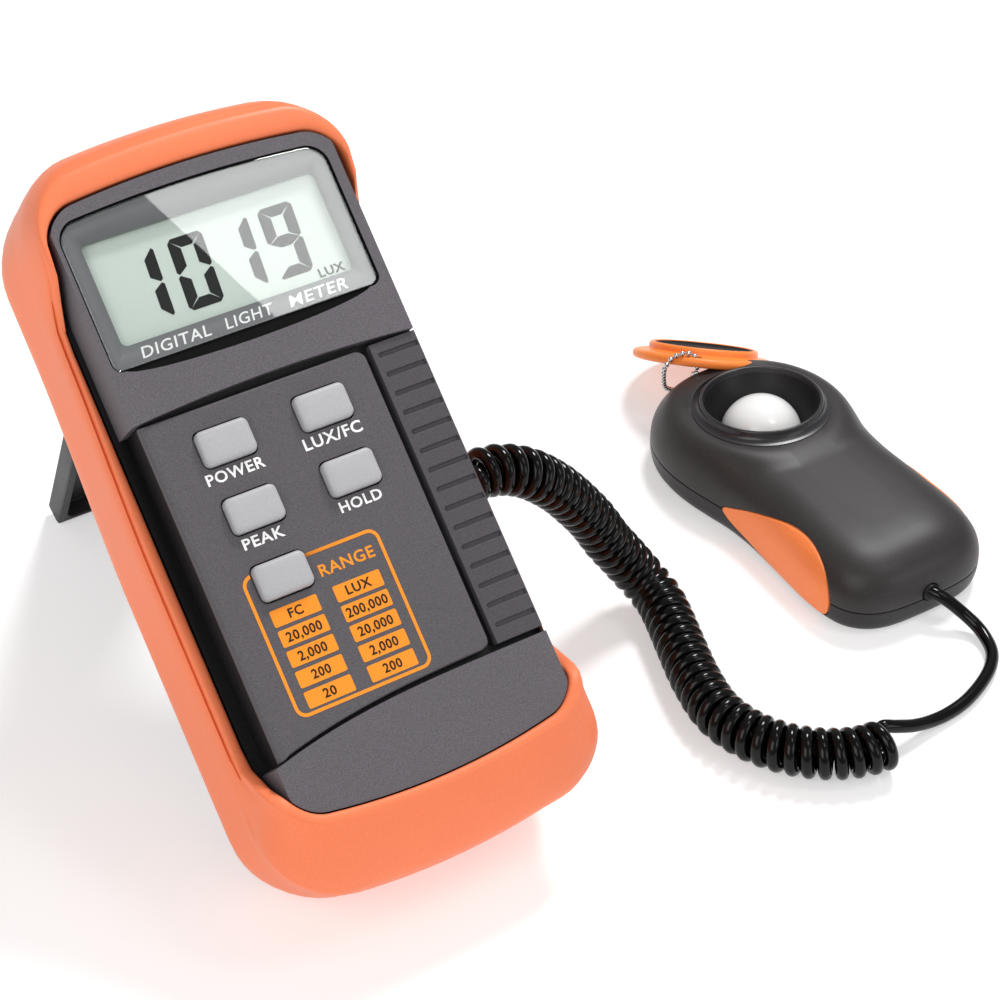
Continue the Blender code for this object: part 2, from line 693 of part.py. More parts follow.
def tilt_stand():
    """The leg: a shallow tray on a hub, hollow towards the case, drawn folded down from its hinge."""
    w, t = LEG_HALF_W, LEG_HALF_T
    side = [(-LEG, -t), (0, -t)]
    for degrees in (30, 60, 90, 120, 150, 180):
        a = math.radians(degrees)
        side.append((t * math.sin(a), -t * math.cos(a)))
    side += [(-LEG + 1.2, t), (-LEG, t - 1.2)]
    rings = [[(x, v, n) for v, n in side] for x in (-w, w)]
    leg = loft("tilt_stand", rings, STAND, material("stand_plastic", (0.055, 0.052, 0.05), 0.55))
    cut(leg, box("stand_hollow", (-w + 1.8, w - 1.8, -LEG + 2.0, -5.5, -t + 1.8, t + 2), STAND, cutter=True))
    cut(leg, turned("stand_bore", cylinder(1.5, w + 2), STAND, steps=16, cutter=True, turn=ALONG_U))
    pin = ((0, -18.1), (0.9, -18.1), (1.1, -17.8), (1.1, 17.8), (0.9, 18.1), (0, 18.1))
    steel = material("pin_steel", (0.6, 0.6, 0.62), 0.3, 1.0)
    turned("stand_pin", pin, METER, steel, at=(0, HINGE_V, HINGE_N), steps=16, turn=ALONG_U)
    return leg


def meter_gland():
    """The ribbed sleeve that the cord leaves the meter through."""
    profile = (
        (0, 27.9), (4.5, 27.9), (4.5, 28.8), (3.3, 29.0), (3.3, 35.7), (4.6, 36.0), (4.6, 37.3), (3.6, 37.6),
        (3.6, 38.2), (3.9, 38.4), (3.9, 39.1), (3.0, 39.8), (0, 39.8),
    )
    black = material("gland_meter_black", (0.02, 0.02, 0.02), 0.5)
    return turned("cord_gland_meter", profile, METER, black, at=(0, CORD_V, CORD_N), steps=16, turn=ALONG_U)


# ---------------------------------------------------------------- the sensor
def sensor_outline(inset=0.0):
    kx = (SENSOR_HALF_W - inset) / SENSOR_HALF_W
    ky = (SENSOR_HALF_L - inset) / SENSOR_HALF_L
    right = [(x * kx, y * ky) for x, y in SENSOR_HALF]
    left = [(-x, y) for x, y in right[-2:0:-1]]
    return right + left


def sensor_rings(extra=0.0):
    """Insets and heights of the sensor's body; extra moves the whole skin inwards."""
    levels = (
        (0.0, 3.0), (0.8, 1.4), (2.4, 0.4), (5.4, 0.0), (9.0, 0.2), (12.0, 1.2), (14.4, 3.2), (15.9, 6.0),
        (16.8, 9.5), (17.2, 13.5),
    )
    rings = []
    for z, inset in levels:
        depth = extra if z < 10 else extra * 0.8
        low = 1.0 if extra and z < 0.5 else 0.0
        high = extra if z > 12 else 0.0
        rings.append([(x, y, z - low - high) for x, y in sensor_outline(inset + depth)])
    return rings


def grip_lens(name, sign, grow):
    """A lens-shaped block that marks out one side grip."""
    edge = (
        (-30.5, 1.6), (-32.2, 4.7), (-31.4, 9.2), (-28.2, 12.8), (-22.0, 14.6), (-14.0, 14.1), (-5.0, 11.3),
        (1.5, 8.5), (5.2, 6.5), (3.0, 4.4), (-2.0, 2.9), (-8.0, 1.9), (-14.0, 1.5), (-26.0, 1.4),
    )
    pts = shrink(edge, grow)
    rings = [[(sign * x, y, z) for y, z in pts] for x in (10.5 - grow, 26.0)]
    return loft(name, rings, SENSOR, cutter=True)


def sensor_body():
    """Two shells that meet at a seam near the base, cut away where the side grips sit."""
    skin = material("sensor_plastic", (0.085, 0.083, 0.085), 0.42)
    under = material("sensor_base_plastic", (0.06, 0.058, 0.06), 0.45)
    top = loft("sensor_top_case", sensor_rings(), SENSOR, skin)
    base = loft("sensor_base_case", sensor_rings(), SENSOR, under)
    swell = ((0, -9), (19.0, -7.5), (17.6, -4.6), (16.6, -3.2), (16.2, -2.6), (0, -2.6))
    add(top, turned("collar_swell", swell, RING, cutter=True, steps=32))
    cut(top, box("below_seam", (-40, 40, -60, 60, -5, SEAM_Z + 0.15), SENSOR, cutter=True))
    cut(base, box("above_seam", (-40, 40, -60, 60, SEAM_Z - 0.15, 40), SENSOR, cutter=True))
    rooms = ((2.2, 5.2), (5, 4.2), (12.0, 4.8), (14.8, 9.0))
    hollow = loft("sensor_inside", [at_n(sensor_outline(i), z) for z, i in rooms], SENSOR, cutter=True)
    cut(top, hollow)
    cut(base, hollow)
    seat = ((0, -12), (14.6, -12), (14.6, -2.45), (15.95, -2.45), (15.95, 4), (0, 4))
    cut(top, turned("collar_seat", seat, RING, cutter=True, steps=40))
    for sign, side in ((1, "right"), (-1, "left")):
        block = grip_lens(f"grip_pocket_{side}", sign, GAP)
        core = loft(f"grip_core_{side}", sensor_rings(1.5), SENSOR, cutter=True)
        cut(block, core)
        cut(top, block)
        cut(base, block)
    tail = (0, -41.5, 7.4)
    hole = turned("sensor_cord_hole", cylinder(2.2, 6), SENSOR, at=tail, steps=20, cutter=True, turn=ALONG_V)
    cut(top, hole)
    cut(base, hole)
    for i, y in enumerate((-28.0, 36.0)):
        hole = ((0, -1), (2.6, -1), (2.6, 1.5), (1.4, 1.5), (1.4, 7.0), (0, 7.0))
        cut(base, turned(f"base_screw_hole_{i}", hole, SENSOR, at=(0, y, 0), cutter=True, steps=14))
    return top, base


def side_grips():
    for sign, side in ((1, "right"), (-1, "left")):
        tone = material(f"sensor_grip_{side}_rubber", (0.95, 0.27, 0.06), 0.45)
        grip = loft(f"sensor_grip_{side}", sensor_rings(), SENSOR, tone)
        boolean(grip, grip_lens(f"grip_shape_{side}", sign, 0.0), "INTERSECT")
        cut(grip, loft(f"grip_back_{side}", sensor_rings(1.2), SENSOR, cutter=True))


def arc(radius, middle, steps):
    """A quarter circle of a profile, from the axis down to its full radius."""
    points = [(0.0, middle + radius)]
    for i in range(1, steps + 1):
        a = math.radians(90 - 90 * i / steps)
        points.append((radius * math.cos(a), middle + radius * math.sin(a)))
    return points


def light_well():
    """The collar with its conical well, and the optics stacked under it."""
    collar = (
        (13.0, -0.3), (13.3, 0.0), (13.9, 0.1), (14.35, -0.3), (14.5, -1.2), (15.6, -1.7), (15.6, -2.2),
        (14.3, -2.25), (14.3, -9.4), (9.5, -9.4), (9.5, -8.6), (10.6, -8.4),
    )
    turned("light_collar", collar, RING, material("collar_plastic", (0.05, 0.049, 0.052), 0.35), steps=32)
    white = material("diffuser_white", (0.88, 0.88, 0.87), 0.35)
    foot = [(9.0, -9.75), (11.5, -9.75), (11.5, -10.6), (7.8, -10.6)]
    turned("diffuser_dome", arc(9.0, -9.2, 6) + foot + arc(7.8, -9.2, 3)[::-1], RING, white, steps=28)
    green = material("filter_green", (0.25, 0.42, 0.22), 0.15)
    turned("colour_filter", ((0, -12.0), (7.0, -12.0), (7.0, -10.95), (0, -10.95)), RING, green, steps=24)
    gold = material("photodiode_gold", (0.75, 0.6, 0.3), 0.3, 0.9)
    can = ((0, -13.8), (4.2, -13.8), (4.2, -12.9), (3.4, -12.7), (3.4, -12.35), (0, -12.35))
    turned("photodiode", can, RING, gold, steps=24)
    board = [(x, y) for x, y in sensor_outline(7.5) if y > -16]
    board += [(-12.0, -16.0), (12.0, -16.0)]
    board.sort(key=lambda p: math.atan2(p[0], -(p[1] - 8)))
    board_green = material("sensor_pcb_green", (0.02, 0.22, 0.1), 0.4)
    prism("sensor_pcb", board, 3.0, 4.2, SENSOR, board_green)


def sensor_trim():
    profile = (
        (0, 0.4), (1.3, 0.4), (1.3, 0.15), (2.2, 0.15), (2.3, 0.4), (2.3, 1.1), (1.1, 1.25), (1.1, 2.7),
        (0, 2.75),
    )
    for name, y in (("tail", -28.0), ("head", 36.0)):
        steel = material(f"sensor_screw_{name}_steel", (0.6, 0.6, 0.62), 0.3, 1.0)
        turned(f"sensor_screw_{name}", profile, SENSOR, steel, at=(0, y, 0), steps=16)
    gland = (
        (0, -5.2), (2.9, -5.2), (2.9, -4.6), (1.9, -4.4), (1.9, 1.0), (2.3, 1.2), (2.3, 1.9), (1.8, 2.3),
        (0, 2.3),
    )
    black = material("gland_sensor_black", (0.02, 0.02, 0.02), 0.5)
    out = Matrix.Rotation(math.radians(90), 4, "X")
    turned("cord_gland_sensor", gland, SENSOR, black, at=(0, -41.1, 7.4), steps=20, turn=out)


def chain_eyelet():
    """A small wire staple on the tip of the sensor that the chain passes through."""
    path = []
    for i in range(10):
        a = math.radians(20 * i)
        path.append((2.4 * math.cos(a), 43.5 + 2.6 * math.sin(a), 8.0))
    steel = material("eyelet_steel", (0.7, 0.7, 0.72), 0.25, 1.0)
    return tube("chain_eyelet", path, 0.5, SENSOR, steel, sides=8)


# ---------------------------------------------------------------- the cap and its chain
CAP_HOLE = (0.0, -14.7)


def sensor_cap():
    """The cap: a flange with a shallow cup, open side up, and a dark liner in the cup."""
    profile = (
        (0, 0), (15.2, 0), (16.2, 0.4), (16.5, 1.2), (16.2, 1.9), (15.4, 2.3), (12.9, 2.5), (12.7, 2.8),
        (12.7, 5.0), (12.4, 5.3), (11.9, 5.3), (11.6, 5.0), (11.6, 1.3), (0, 1.3),
    )
    shell = turned("cap_shell", profile, CAP, material("cap_rubber", (0.93, 0.28, 0.05), 0.45), steps=32)
    cut(shell, turned("cap_chain_hole", cylinder(1.15, 4), CAP, at=(*CAP_HOLE, 0), steps=16, cutter=True))
    black = material("liner_black", (0.01, 0.01, 0.01), 0.8)
    turned("cap_liner", ((0, 1.6), (11.2, 1.6), (11.2, 2.3), (0, 2.3)), CAP, black, steps=28)


def cap_chain():
    """The bead chain's loop, through the flange's hole and the sensor's staple."""
    at_cap = Matrix.Translation(CAP_AT) @ CAP_TURN
    path = [tuple(at_cap @ Vector(p)) for p in CHAIN_AT_CAP] + list(CHAIN_PATH)
    path = smooth_path(path[-1:] + path + path[:2], 3)[3:-4]
    steel = material("chain_steel", (0.75, 0.75, 0.77), 0.2, 1.0)
    return tube("cap_chain", path, 0.75, FLOOR, steel, sides=6, closed=True)


CHAIN_AT_CAP = (
    (0, -14.7, -1.3), (0, -14.7, 1.2), (0, -14.7, 3.9), (-3.6, -15.2, 5.3), (-8.2, -15.6, 3.9),
    (-10.4, -15.4, 0.4),
)
CHAIN_PATH = (
    (119.0, 86.2, 11.6), (121.6, 86.9, 7.4), (125.6, 87.1, 4.4), (128.6, 85.4, 2.9), (128.9, 83.0, 4.9),
    (128.3, 83.0, 8.0), (127.2, 82.6, 11.2),
)


def cord():
    """The coiled part of the cord as one sleeve, and the plain end that runs to the sensor."""
    coil = material("coil_black", (0.012, 0.012, 0.012), 0.3)
    tube("cord_coil", smooth_path(COIL_PATH, 2), COIL_R, FLOOR, coil, sides=12)
    lead = material("lead_black", (0.012, 0.012, 0.012), 0.3)
    tube("cord_lead", smooth_path(LEAD_PATH, 2), WIRE_R, FLOOR, lead, sides=8)


# ---------------------------------------------------------------- build
holster()
front_case()
rear_case()
keypad_panel()
side_grip()
display()
electronics()
for key_name, (key_u, key_v) in BUTTONS.items():
    button(key_name, key_u, key_v)
battery()
battery_door()
case_screws()
tilt_stand()
meter_gland()
sensor_body()
side_grips()
light_well()
sensor_trim()
chain_eyelet()
sensor_cap()
cap_chain()
cord()
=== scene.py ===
"""Handheld light meter, as it looks: the meter in its holster, the corded sensor and the chained cap.

Lengths are in millimetres in the meter's, sensor's and cap's own frames, as in the CAD source, and each mesh
is turned into metres in the row frame as it is made.
"""
import math

import bmesh
import bpy
import numpy as np
from mathutils import Matrix, Vector


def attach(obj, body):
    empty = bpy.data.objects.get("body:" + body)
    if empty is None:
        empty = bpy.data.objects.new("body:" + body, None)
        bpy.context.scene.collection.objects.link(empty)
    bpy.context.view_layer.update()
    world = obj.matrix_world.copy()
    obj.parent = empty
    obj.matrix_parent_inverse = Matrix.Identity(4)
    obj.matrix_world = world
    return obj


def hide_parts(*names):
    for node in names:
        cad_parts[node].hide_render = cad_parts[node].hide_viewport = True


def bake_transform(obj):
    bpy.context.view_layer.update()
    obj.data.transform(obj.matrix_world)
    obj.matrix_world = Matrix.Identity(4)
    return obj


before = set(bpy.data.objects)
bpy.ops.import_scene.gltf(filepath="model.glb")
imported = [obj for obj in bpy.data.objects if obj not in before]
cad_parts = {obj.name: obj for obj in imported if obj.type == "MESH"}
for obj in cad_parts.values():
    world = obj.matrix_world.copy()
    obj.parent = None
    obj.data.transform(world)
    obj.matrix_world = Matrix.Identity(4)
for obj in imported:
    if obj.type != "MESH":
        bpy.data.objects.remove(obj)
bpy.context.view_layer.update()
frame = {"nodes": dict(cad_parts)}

MM = 0.001

# Places and angles on the floor; CENTRE is the row frame's origin there.
CENTRE = (58.2, 52.719)
CAMERA_AT = (-178.19, -320.97, 383.74)
CAMERA_AZIMUTH = math.radians(-32.04)
CAMERA_ELEVATION = math.radians(39.12)
LEAN = math.radians(41.36)
SENSOR_AT = (128.3, 38.6)
COLLAR_AT = (0, 19.7, 19.5)
COLLAR_TILT = math.radians(-5.0)
TAIL_AT = (0, -41.5, 7.4)
CAP_AT = (133.8, 88.1, 8.42)
CAP_TILT = math.radians(32.3)
CAP_HEADING = math.radians(-42.7)
STAND_OPEN = math.radians(75.3)
HINGE = (118.5, 5.2)
LEG = 91.16

# The meter's own frame: u to its right, v up its face and n out of the face, from the back of the holster.
FACE_DISPLAY = 37.6
FACE_KEYPAD = 36.8
FACE_FOOT = 37.2
FACE_HALF_W = 29.6
WINDOW_SHIFT = -0.8
LCD_FACE = 35.0
LEDGE = 27.0
DECK = 34.5
LIP_SIDE = 27.4
LIP_END = 38.0
LIP_FOOT = 24.0
COLUMN_L = -14.2
COLUMN_R = 6.1
ROWS = (80.0, 66.7, 53.4)
BUTTONS = {
    "power": (COLUMN_L, ROWS[0]),
    "lux_fc": (COLUMN_R, ROWS[0]),
    "peak": (COLUMN_L, ROWS[1]),
    "hold": (COLUMN_R, ROWS[1]),
    "range": (COLUMN_L, ROWS[2]),
}
BUTTON_W = 10.6
BUTTON_H = 6.9
BUTTON_TOP = 38.5
GRIP_SLOTS = 15
GRIP_FIRST = 30.2
GRIP_PITCH = 3.95
CORD_V = 60.0
CORD_N = 14.0

# The sensor's seam, the cord and the chain.
SEAM_Z = 6.2
SEAM_GAP = 0.32
WIRE_D = 2.8
TURN_PITCH = 3.0
COIL_RADIUS = 3.95
BEAD_RADIUS = 0.65
BEAD_SPACING = 1.5

FLOOR = Matrix.Scale(MM, 4) @ Matrix.Translation((-CENTRE[0], -CENTRE[1], 0))
METER = FLOOR @ Matrix.Rotation(LEAN, 4, "X")
STAND = METER @ Matrix.Translation((0, *HINGE)) @ Matrix.Rotation(STAND_OPEN, 4, "X")
SENSOR = FLOOR @ Matrix.Translation((*SENSOR_AT, 0))
RING = SENSOR @ Matrix.Translation(COLLAR_AT) @ Matrix.Rotation(COLLAR_TILT, 4, "X")
CAP_TURN = Matrix.Rotation(CAP_HEADING, 4, "Z") @ Matrix.Rotation(-CAP_TILT, 4, "X")
CAP_PLACE = Matrix.Translation(CAP_AT) @ CAP_TURN
CAP = FLOOR @ CAP_PLACE
ALONG_U = Matrix.Rotation(math.radians(90), 4, "Y")
ALONG_TAIL = Matrix.Rotation(math.radians(90), 4, "X")


# ---------------------------------------------------------------- camera, light and floor
def camera():
    """Looks down on the object from its front left, with a long lens."""
    data = bpy.data.cameras.new("camera")
    data.lens = 97.2
    data.sensor_width = 36.0
    data.clip_end = 20
    obj = bpy.data.objects.new("camera", data)
    bpy.context.scene.collection.objects.link(obj)
    obj.location = FLOOR @ Vector(CAMERA_AT)
    obj.rotation_euler = (math.radians(90) - CAMERA_ELEVATION, 0, CAMERA_AZIMUTH)
    bpy.context.scene.camera = obj


def panel_light(name, size, power):
    data = bpy.data.lights.new(name, "AREA")
    data.shape = "RECTANGLE"
    data.size, data.size_y = size
    data.energy = power
    obj = bpy.data.objects.new(name, data)
    bpy.context.scene.collection.objects.link(obj)
    return obj


def aimed_light(name, place, target, side, power):
    """A square panel, in metres, that faces its target."""
    obj = panel_light(name, (side, side), power)
    obj.location = place
    obj.rotation_euler = (Vector(target) - Vector(place)).to_track_quat("-Z", "Y").to_euler()


def glare_light():
    """A narrow panel whose reflection covers the window to the right of a slanting line."""
    edge_top = Vector((255.3, -272.8, 785.8))
    edge_low = Vector((294.8, -333.3, 735.1))
    along = (edge_low - edge_top).normalized()
    window = Vector((0, 60.0, 102.7))
    back = ((edge_top + edge_low) / 2 - window).normalized()
    across = along.cross(back).normalized()
    if across.x < 0:
        across = -across
    half_width, half_length = 65, 150
    middle = (edge_top + edge_low) / 2 + across * half_width
    obj = panel_light("glare", (2 * half_width * MM, 2 * half_length * MM), 0.72)
    axes = Matrix((across, across.cross(back), back)).transposed()
    obj.matrix_world = Matrix.Translation(FLOOR @ middle) @ axes.to_4x4()


def studio():
    """Soft white light from all round, one small key light, and a pale floor that glows a little."""
    bpy.context.scene.view_settings.view_transform = "Standard"
    world = bpy.data.worlds.new("studio")
    bpy.context.scene.world = world
    world.use_nodes = True
    back = world.node_tree.nodes["Background"]
    back.inputs["Color"].default_value = (1.0, 1.0, 1.0, 1)
    back.inputs["Strength"].default_value = 0.38
    aimed_light("key", (0.55, 0.35, 1.05), (0, 0, 0.02), 0.26, 10.4)
    aimed_light("fill", (-0.75, -0.45, 0.7), (0, 0, 0.04), 0.7, 4.5)
    aimed_light("front", (0.45, -0.9, 0.45), (0, 0, 0.03), 0.5, 1.6)
    glare_light()
    bpy.ops.mesh.primitive_plane_add(size=6)
    floor = bpy.context.object
    floor.name = "floor"
    mat = bpy.data.materials.new("floor_paper")
    mat.use_nodes = True
    shader = mat.node_tree.nodes["Principled BSDF"]
    shader.inputs["Base Color"].default_value = (0.7, 0.7, 0.7, 1)
    shader.inputs["Roughness"].default_value = 0.85
    shader.inputs["Specular IOR Level"].default_value = 0.2
    shader.inputs["Emission Color"].default_value = (1, 1, 1, 1)
    shader.inputs["Emission Strength"].default_value = 0.42
    floor.data.materials.append(mat)


# ---------------------------------------------------------------- mesh helpers
def settle(obj):
    """Replaces an object's mesh with what its modifiers make of it."""
    bpy.context.view_layer.update()
    graph = bpy.context.evaluated_depsgraph_get()
    done = bpy.data.meshes.new_from_object(obj.evaluated_get(graph))
    obj.modifiers.clear()
    obj.data = done
    return obj


def piece(name, bm, at, mat=None, angle=38.0):
    """A bmesh in millimetres becomes an object in the row frame; at is its own frame's matrix."""
    bmesh.ops.transform(bm, matrix=at, verts=bm.verts)
    mesh = bpy.data.meshes.new(name)
    bm.to_mesh(mesh)
    bm.free()
    obj = bpy.data.objects.new(name, mesh)
    bpy.context.scene.collection.objects.link(obj)
    if mat:
        mesh.materials.append(mat)
    shade(obj, angle)
    return obj


def shade(obj, angle=38.0):
    obj.data.shade_smooth()
    obj.data.set_sharp_from_angle(angle=math.radians(angle))
    return obj


def loft(name, rings, at, mat=None, closed=False, angle=38.0):
    bm = bmesh.new()
    rows = [[bm.verts.new(p) for p in ring] for ring in rings]
    n = len(rows[0])
    pairs = list(zip(rows, rows[1:]))
    if closed:
        pairs.append((rows[-1], rows[0]))
    for low, high in pairs:
        for i in range(n):
            j = (i + 1) % n
            bm.faces.new((low[i], low[j], high[j], high[i]))
    if not closed:
        bm.faces.new(rows[0][::-1])
        bm.faces.new(rows[-1])
    bmesh.ops.recalc_face_normals(bm, faces=bm.faces)
    return piece(name, bm, at, mat, angle)


def prism(name, outline, z0, z1, at, mat=None):
    return loft(name, [[(x, y, z0) for x, y in outline], [(x, y, z1) for x, y in outline]], at, mat)


def box(name, bounds, at, mat=None):
    x0, x1, y0, y1, z0, z1 = bounds
    return prism(name, [(x0, y0), (x1, y0), (x1, y1), (x0, y1)], z0, z1, at, mat)


def turned(name, profile, at, mat=None, steps=96, angle=38.0):
    """A profile of (radius, height) points turned round Z; a profile that leaves the axis is a ring."""
    bm = bmesh.new()
    ends_on_axis = profile[0][0] == 0 and profile[-1][0] == 0
    rows = []
    for r, z in profile:
        if r == 0:
            rows.append([bm.verts.new((0, 0, z))])
            continue
        row = []
        for i in range(steps):
            a = 2 * math.pi * i / steps
            row.append(bm.verts.new((r * math.cos(a), r * math.sin(a), z)))
        rows.append(row)
    pairs = list(zip(rows, rows[1:]))
    if not ends_on_axis:
        pairs.append((rows[-1], rows[0]))
    for low, high in pairs:
        for i in range(steps):
            j = (i + 1) % steps
            if len(low) == 1 and len(high) == 1:
                break
            if len(low) == 1:
                bm.faces.new((low[0], high[j], high[i]))
            elif len(high) == 1:
                bm.faces.new((low[i], low[j], high[0]))
            else:
                bm.faces.new((low[i], low[j], high[j], high[i]))
    bmesh.ops.recalc_face_normals(bm, faces=bm.faces)
    return piece(name, bm, at, mat, angle)


def bore(radius, z0, z1, at, steps):
    return turned("bore", ((0, z0), (radius, z0), (radius, z1), (0, z1)), at, steps=steps)


def carve(obj, *others, operation="DIFFERENCE"):
    """Cuts the others out of the object and removes them; a cutter with a finish leaves it on the cut."""
    for other in others:
        step = obj.modifiers.new("carve", "BOOLEAN")
        step.operation = operation
        step.solver = "EXACT"
        step.material_mode = "TRANSFER" if other.data.materials else "INDEX"
        step.object = other
        settle(obj)
        bpy.data.objects.remove(other, do_unlink=True)
    return obj


def soften(obj, width, segments=3, angle=40.0, shade_angle=38.0):
    """Rounds the edges that are sharper than the angle, once points that coincide are one."""
    weld = obj.modifiers.new("weld", "WELD")
    weld.merge_threshold = 1e-6
    step = obj.modifiers.new("soften", "BEVEL")
    step.width = width * MM
    step.segments = segments
    step.limit_method = "ANGLE"
    step.angle_limit = math.radians(angle)
    step.use_clamp_overlap = True
    settle(obj)
    return shade(obj, shade_angle)


def join(name, *objs):
    """Makes one object of several meshes in the row frame."""
    bm = bmesh.new()
    mats = []
    for obj in objs:
        index = []
        for mat in obj.data.materials:
            if mat not in mats:
                mats.append(mat)
            index.append(mats.index(mat))
        before = len(bm.faces)
        bm.from_mesh(obj.data)
        bm.faces.ensure_lookup_table()
        for face in bm.faces[before:]:
            face.material_index = index[face.material_index] if index else 0
    mesh = bpy.data.meshes.new(name)
    bm.to_mesh(mesh)
    bm.free()
    for obj in objs:
        bpy.data.objects.remove(obj, do_unlink=True)
    for mat in mats:
        mesh.materials.append(mat)
    whole = bpy.data.objects.new(name, mesh)
    bpy.context.scene.collection.objects.link(whole)
    return whole


def belongs(obj, body, slot, *nodes):
    """Puts the finished piece on its body, in place of the CAD nodes it stands for; the slot is not used."""
    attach(obj, body)
    if nodes:
        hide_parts(*nodes)
    return obj


def smooth(points, per=6, closed=False):
    """A Catmull-Rom curve through the points."""
    p = np.array(points, float)
    if closed:
        p = np.vstack([p[-1:], p, p[:2]])
    else:
        p = np.vstack([2 * p[:1] - p[1:2], p, 2 * p[-1:] - p[-2:-1]])
    out = []
    for i in range(1, len(p) - 2):
        a, b, c, d = p[i - 1 : i + 3]
        for k in range(per):
            t = k / per
            out.append(
                0.5
                * (2 * b + (c - a) * t + (2 * a - 5 * b + 4 * c - d) * t**2 + (3 * b - a - 3 * c + d) * t**3)
            )
    if not closed:
        out.append(p[-2])
    return [tuple(q) for q in out]


def arc(u, v, r, start, stations, steps):
    """Points round (u, v) from a start angle in degrees; so many steps make a quarter turn."""
    angles = [math.radians(start + 90 * i / steps) for i in stations]
    return [(u + r * math.cos(a), v + r * math.sin(a)) for a in angles]


def rounded(u0, u1, v0, v1, r, steps=6):
    """A rectangle with round corners, anticlockwise."""
    right, left, low, high = u1 - r, u0 + r, v0 + r, v1 - r
    pts = []
    for u, v, start in ((right, low, -90), (right, high, 0), (left, high, 90), (left, low, 180)):
        pts += arc(u, v, r, start, range(steps + 1), steps)
    return pts


def bowed(a, vb, vt, rb, rt, bow_b=0.0, bow_t=0.0, edge=14, corner=10, side=24):
    """A rounded rectangle centred across u, whose two ends bulge out; the point count never varies."""
    turn = range(1, corner + 1)
    rise = vt - rt - vb - rb
    pts = [((a - rb) * (2 * i / edge - 1), vb) for i in range(edge + 1)]
    pts += arc(a - rb, vb + rb, rb, -90, turn, corner)
    pts += [(a, vb + rb + rise * i / side) for i in range(1, side + 1)]
    pts += arc(a - rt, vt - rt, rt, 0, turn, corner)
    pts += [((a - rt) * (1 - 2 * i / edge), vt) for i in range(1, edge + 1)]
    pts += arc(rt - a, vt - rt, rt, 90, turn, corner)
    pts += [(-a, vt - rt - rise * i / side) for i in range(1, side + 1)]
    pts += arc(rb - a, vb + rb, rb, 180, turn[:-1], corner)
    out = []
    for u, v in pts:
        low = max(0.0, min(1.0, (vb + rb - v) / rb))
        high = max(0.0, min(1.0, (v - vt + rt) / rt))
        swell = 1 - (u / a) ** 2
        out.append((u, v - bow_b * swell * low + bow_t * swell * high))
    return out


def mix(a, b, t):
    return [(p[0] + (q[0] - p[0]) * t, p[1] + (q[1] - p[1]) * t) for p, q in zip(a, b)]


def at_n(outline, n):
    return [(u, v, n) for u, v in outline]


def ease(t):
    t = max(0.0, min(1.0, t))
    return t * t * (3 - 2 * t)


# ---------------------------------------------------------------- materials
def noise(nodes, links, place, scale, detail):
    node = nodes.new("ShaderNodeTexNoise")
    node.inputs["Scale"].default_value = scale
    node.inputs["Detail"].default_value = detail
    links.new(place.outputs["Object"], node.inputs["Vector"])
    return node.outputs["Fac"]


def remap(nodes, links, source, before, after):
    """Stretches a value from one range to another."""
    node = nodes.new("ShaderNodeMapRange")
    node.inputs["From Min"].default_value, node.inputs["From Max"].default_value = before
    node.inputs["To Min"].default_value, node.inputs["To Max"].default_value = after
    links.new(source, node.inputs["Value"])
    return node.outputs["Result"]


def surface(name, code, rough=0.5, metal=0.0, grain=0.12, size=1800, bump=0.04, coat=0.0, shine=0.35):
    """A procedural finish: a fine grain in colour and relief, and a slow unevenness in colour and gloss."""
    colour = srgb(code)
    mat = bpy.data.materials.new(name)
    mat.use_nodes = True
    nodes = mat.node_tree.nodes
    links = mat.node_tree.links
    shader = nodes["Principled BSDF"]
    shader.inputs["Metallic"].default_value = metal
    shader.inputs["Specular IOR Level"].default_value = shine
    shader.inputs["Coat Weight"].default_value = coat
    shader.inputs["Coat Roughness"].default_value = 0.15
    place = nodes.new("ShaderNodeTexCoord")
    fine = noise(nodes, links, place, size, 3)
    slow = noise(nodes, links, place, 45, 2)
    tone = nodes.new("ShaderNodeMix")
    tone.data_type = "RGBA"
    tone.inputs[6].default_value = (*[c * (1 - grain) for c in colour], 1)
    tone.inputs[7].default_value = (*[min(1.0, c * (1 + grain)) for c in colour], 1)
    links.new(remap(nodes, links, fine, (0.35, 0.65), (0, 1)), tone.inputs["Factor"])
    uneven = nodes.new("ShaderNodeMix")
    uneven.data_type = "RGBA"
    uneven.blend_type = "MULTIPLY"
    uneven.inputs["Factor"].default_value = 1.0
    links.new(tone.outputs[2], uneven.inputs[6])
    links.new(remap(nodes, links, slow, (0.3, 0.7), (0.94, 1)), uneven.inputs[7])
    links.new(uneven.outputs[2], shader.inputs["Base Color"])
    worn = remap(nodes, links, slow, (0.3, 0.7), (max(0.02, rough - 0.05), min(1.0, rough + 0.05)))
    links.new(worn, shader.inputs["Roughness"])
    if bump:
        relief = nodes.new("ShaderNodeBump")
        relief.inputs["Strength"].default_value = bump
        relief.inputs["Distance"].default_value = 0.0002
        links.new(fine, relief.inputs["Height"])
        links.new(relief.outputs["Normal"], shader.inputs["Normal"])
    return mat


def srgb(code):
    """Linear colour of a six-digit hex value."""
    out = []
    for i in (0, 2, 4):
        c = int(code[i : i + 2], 16) / 255
        out.append(c / 12.92 if c <= 0.04045 else ((c + 0.055) / 1.055) ** 2.4)
    return tuple(out)


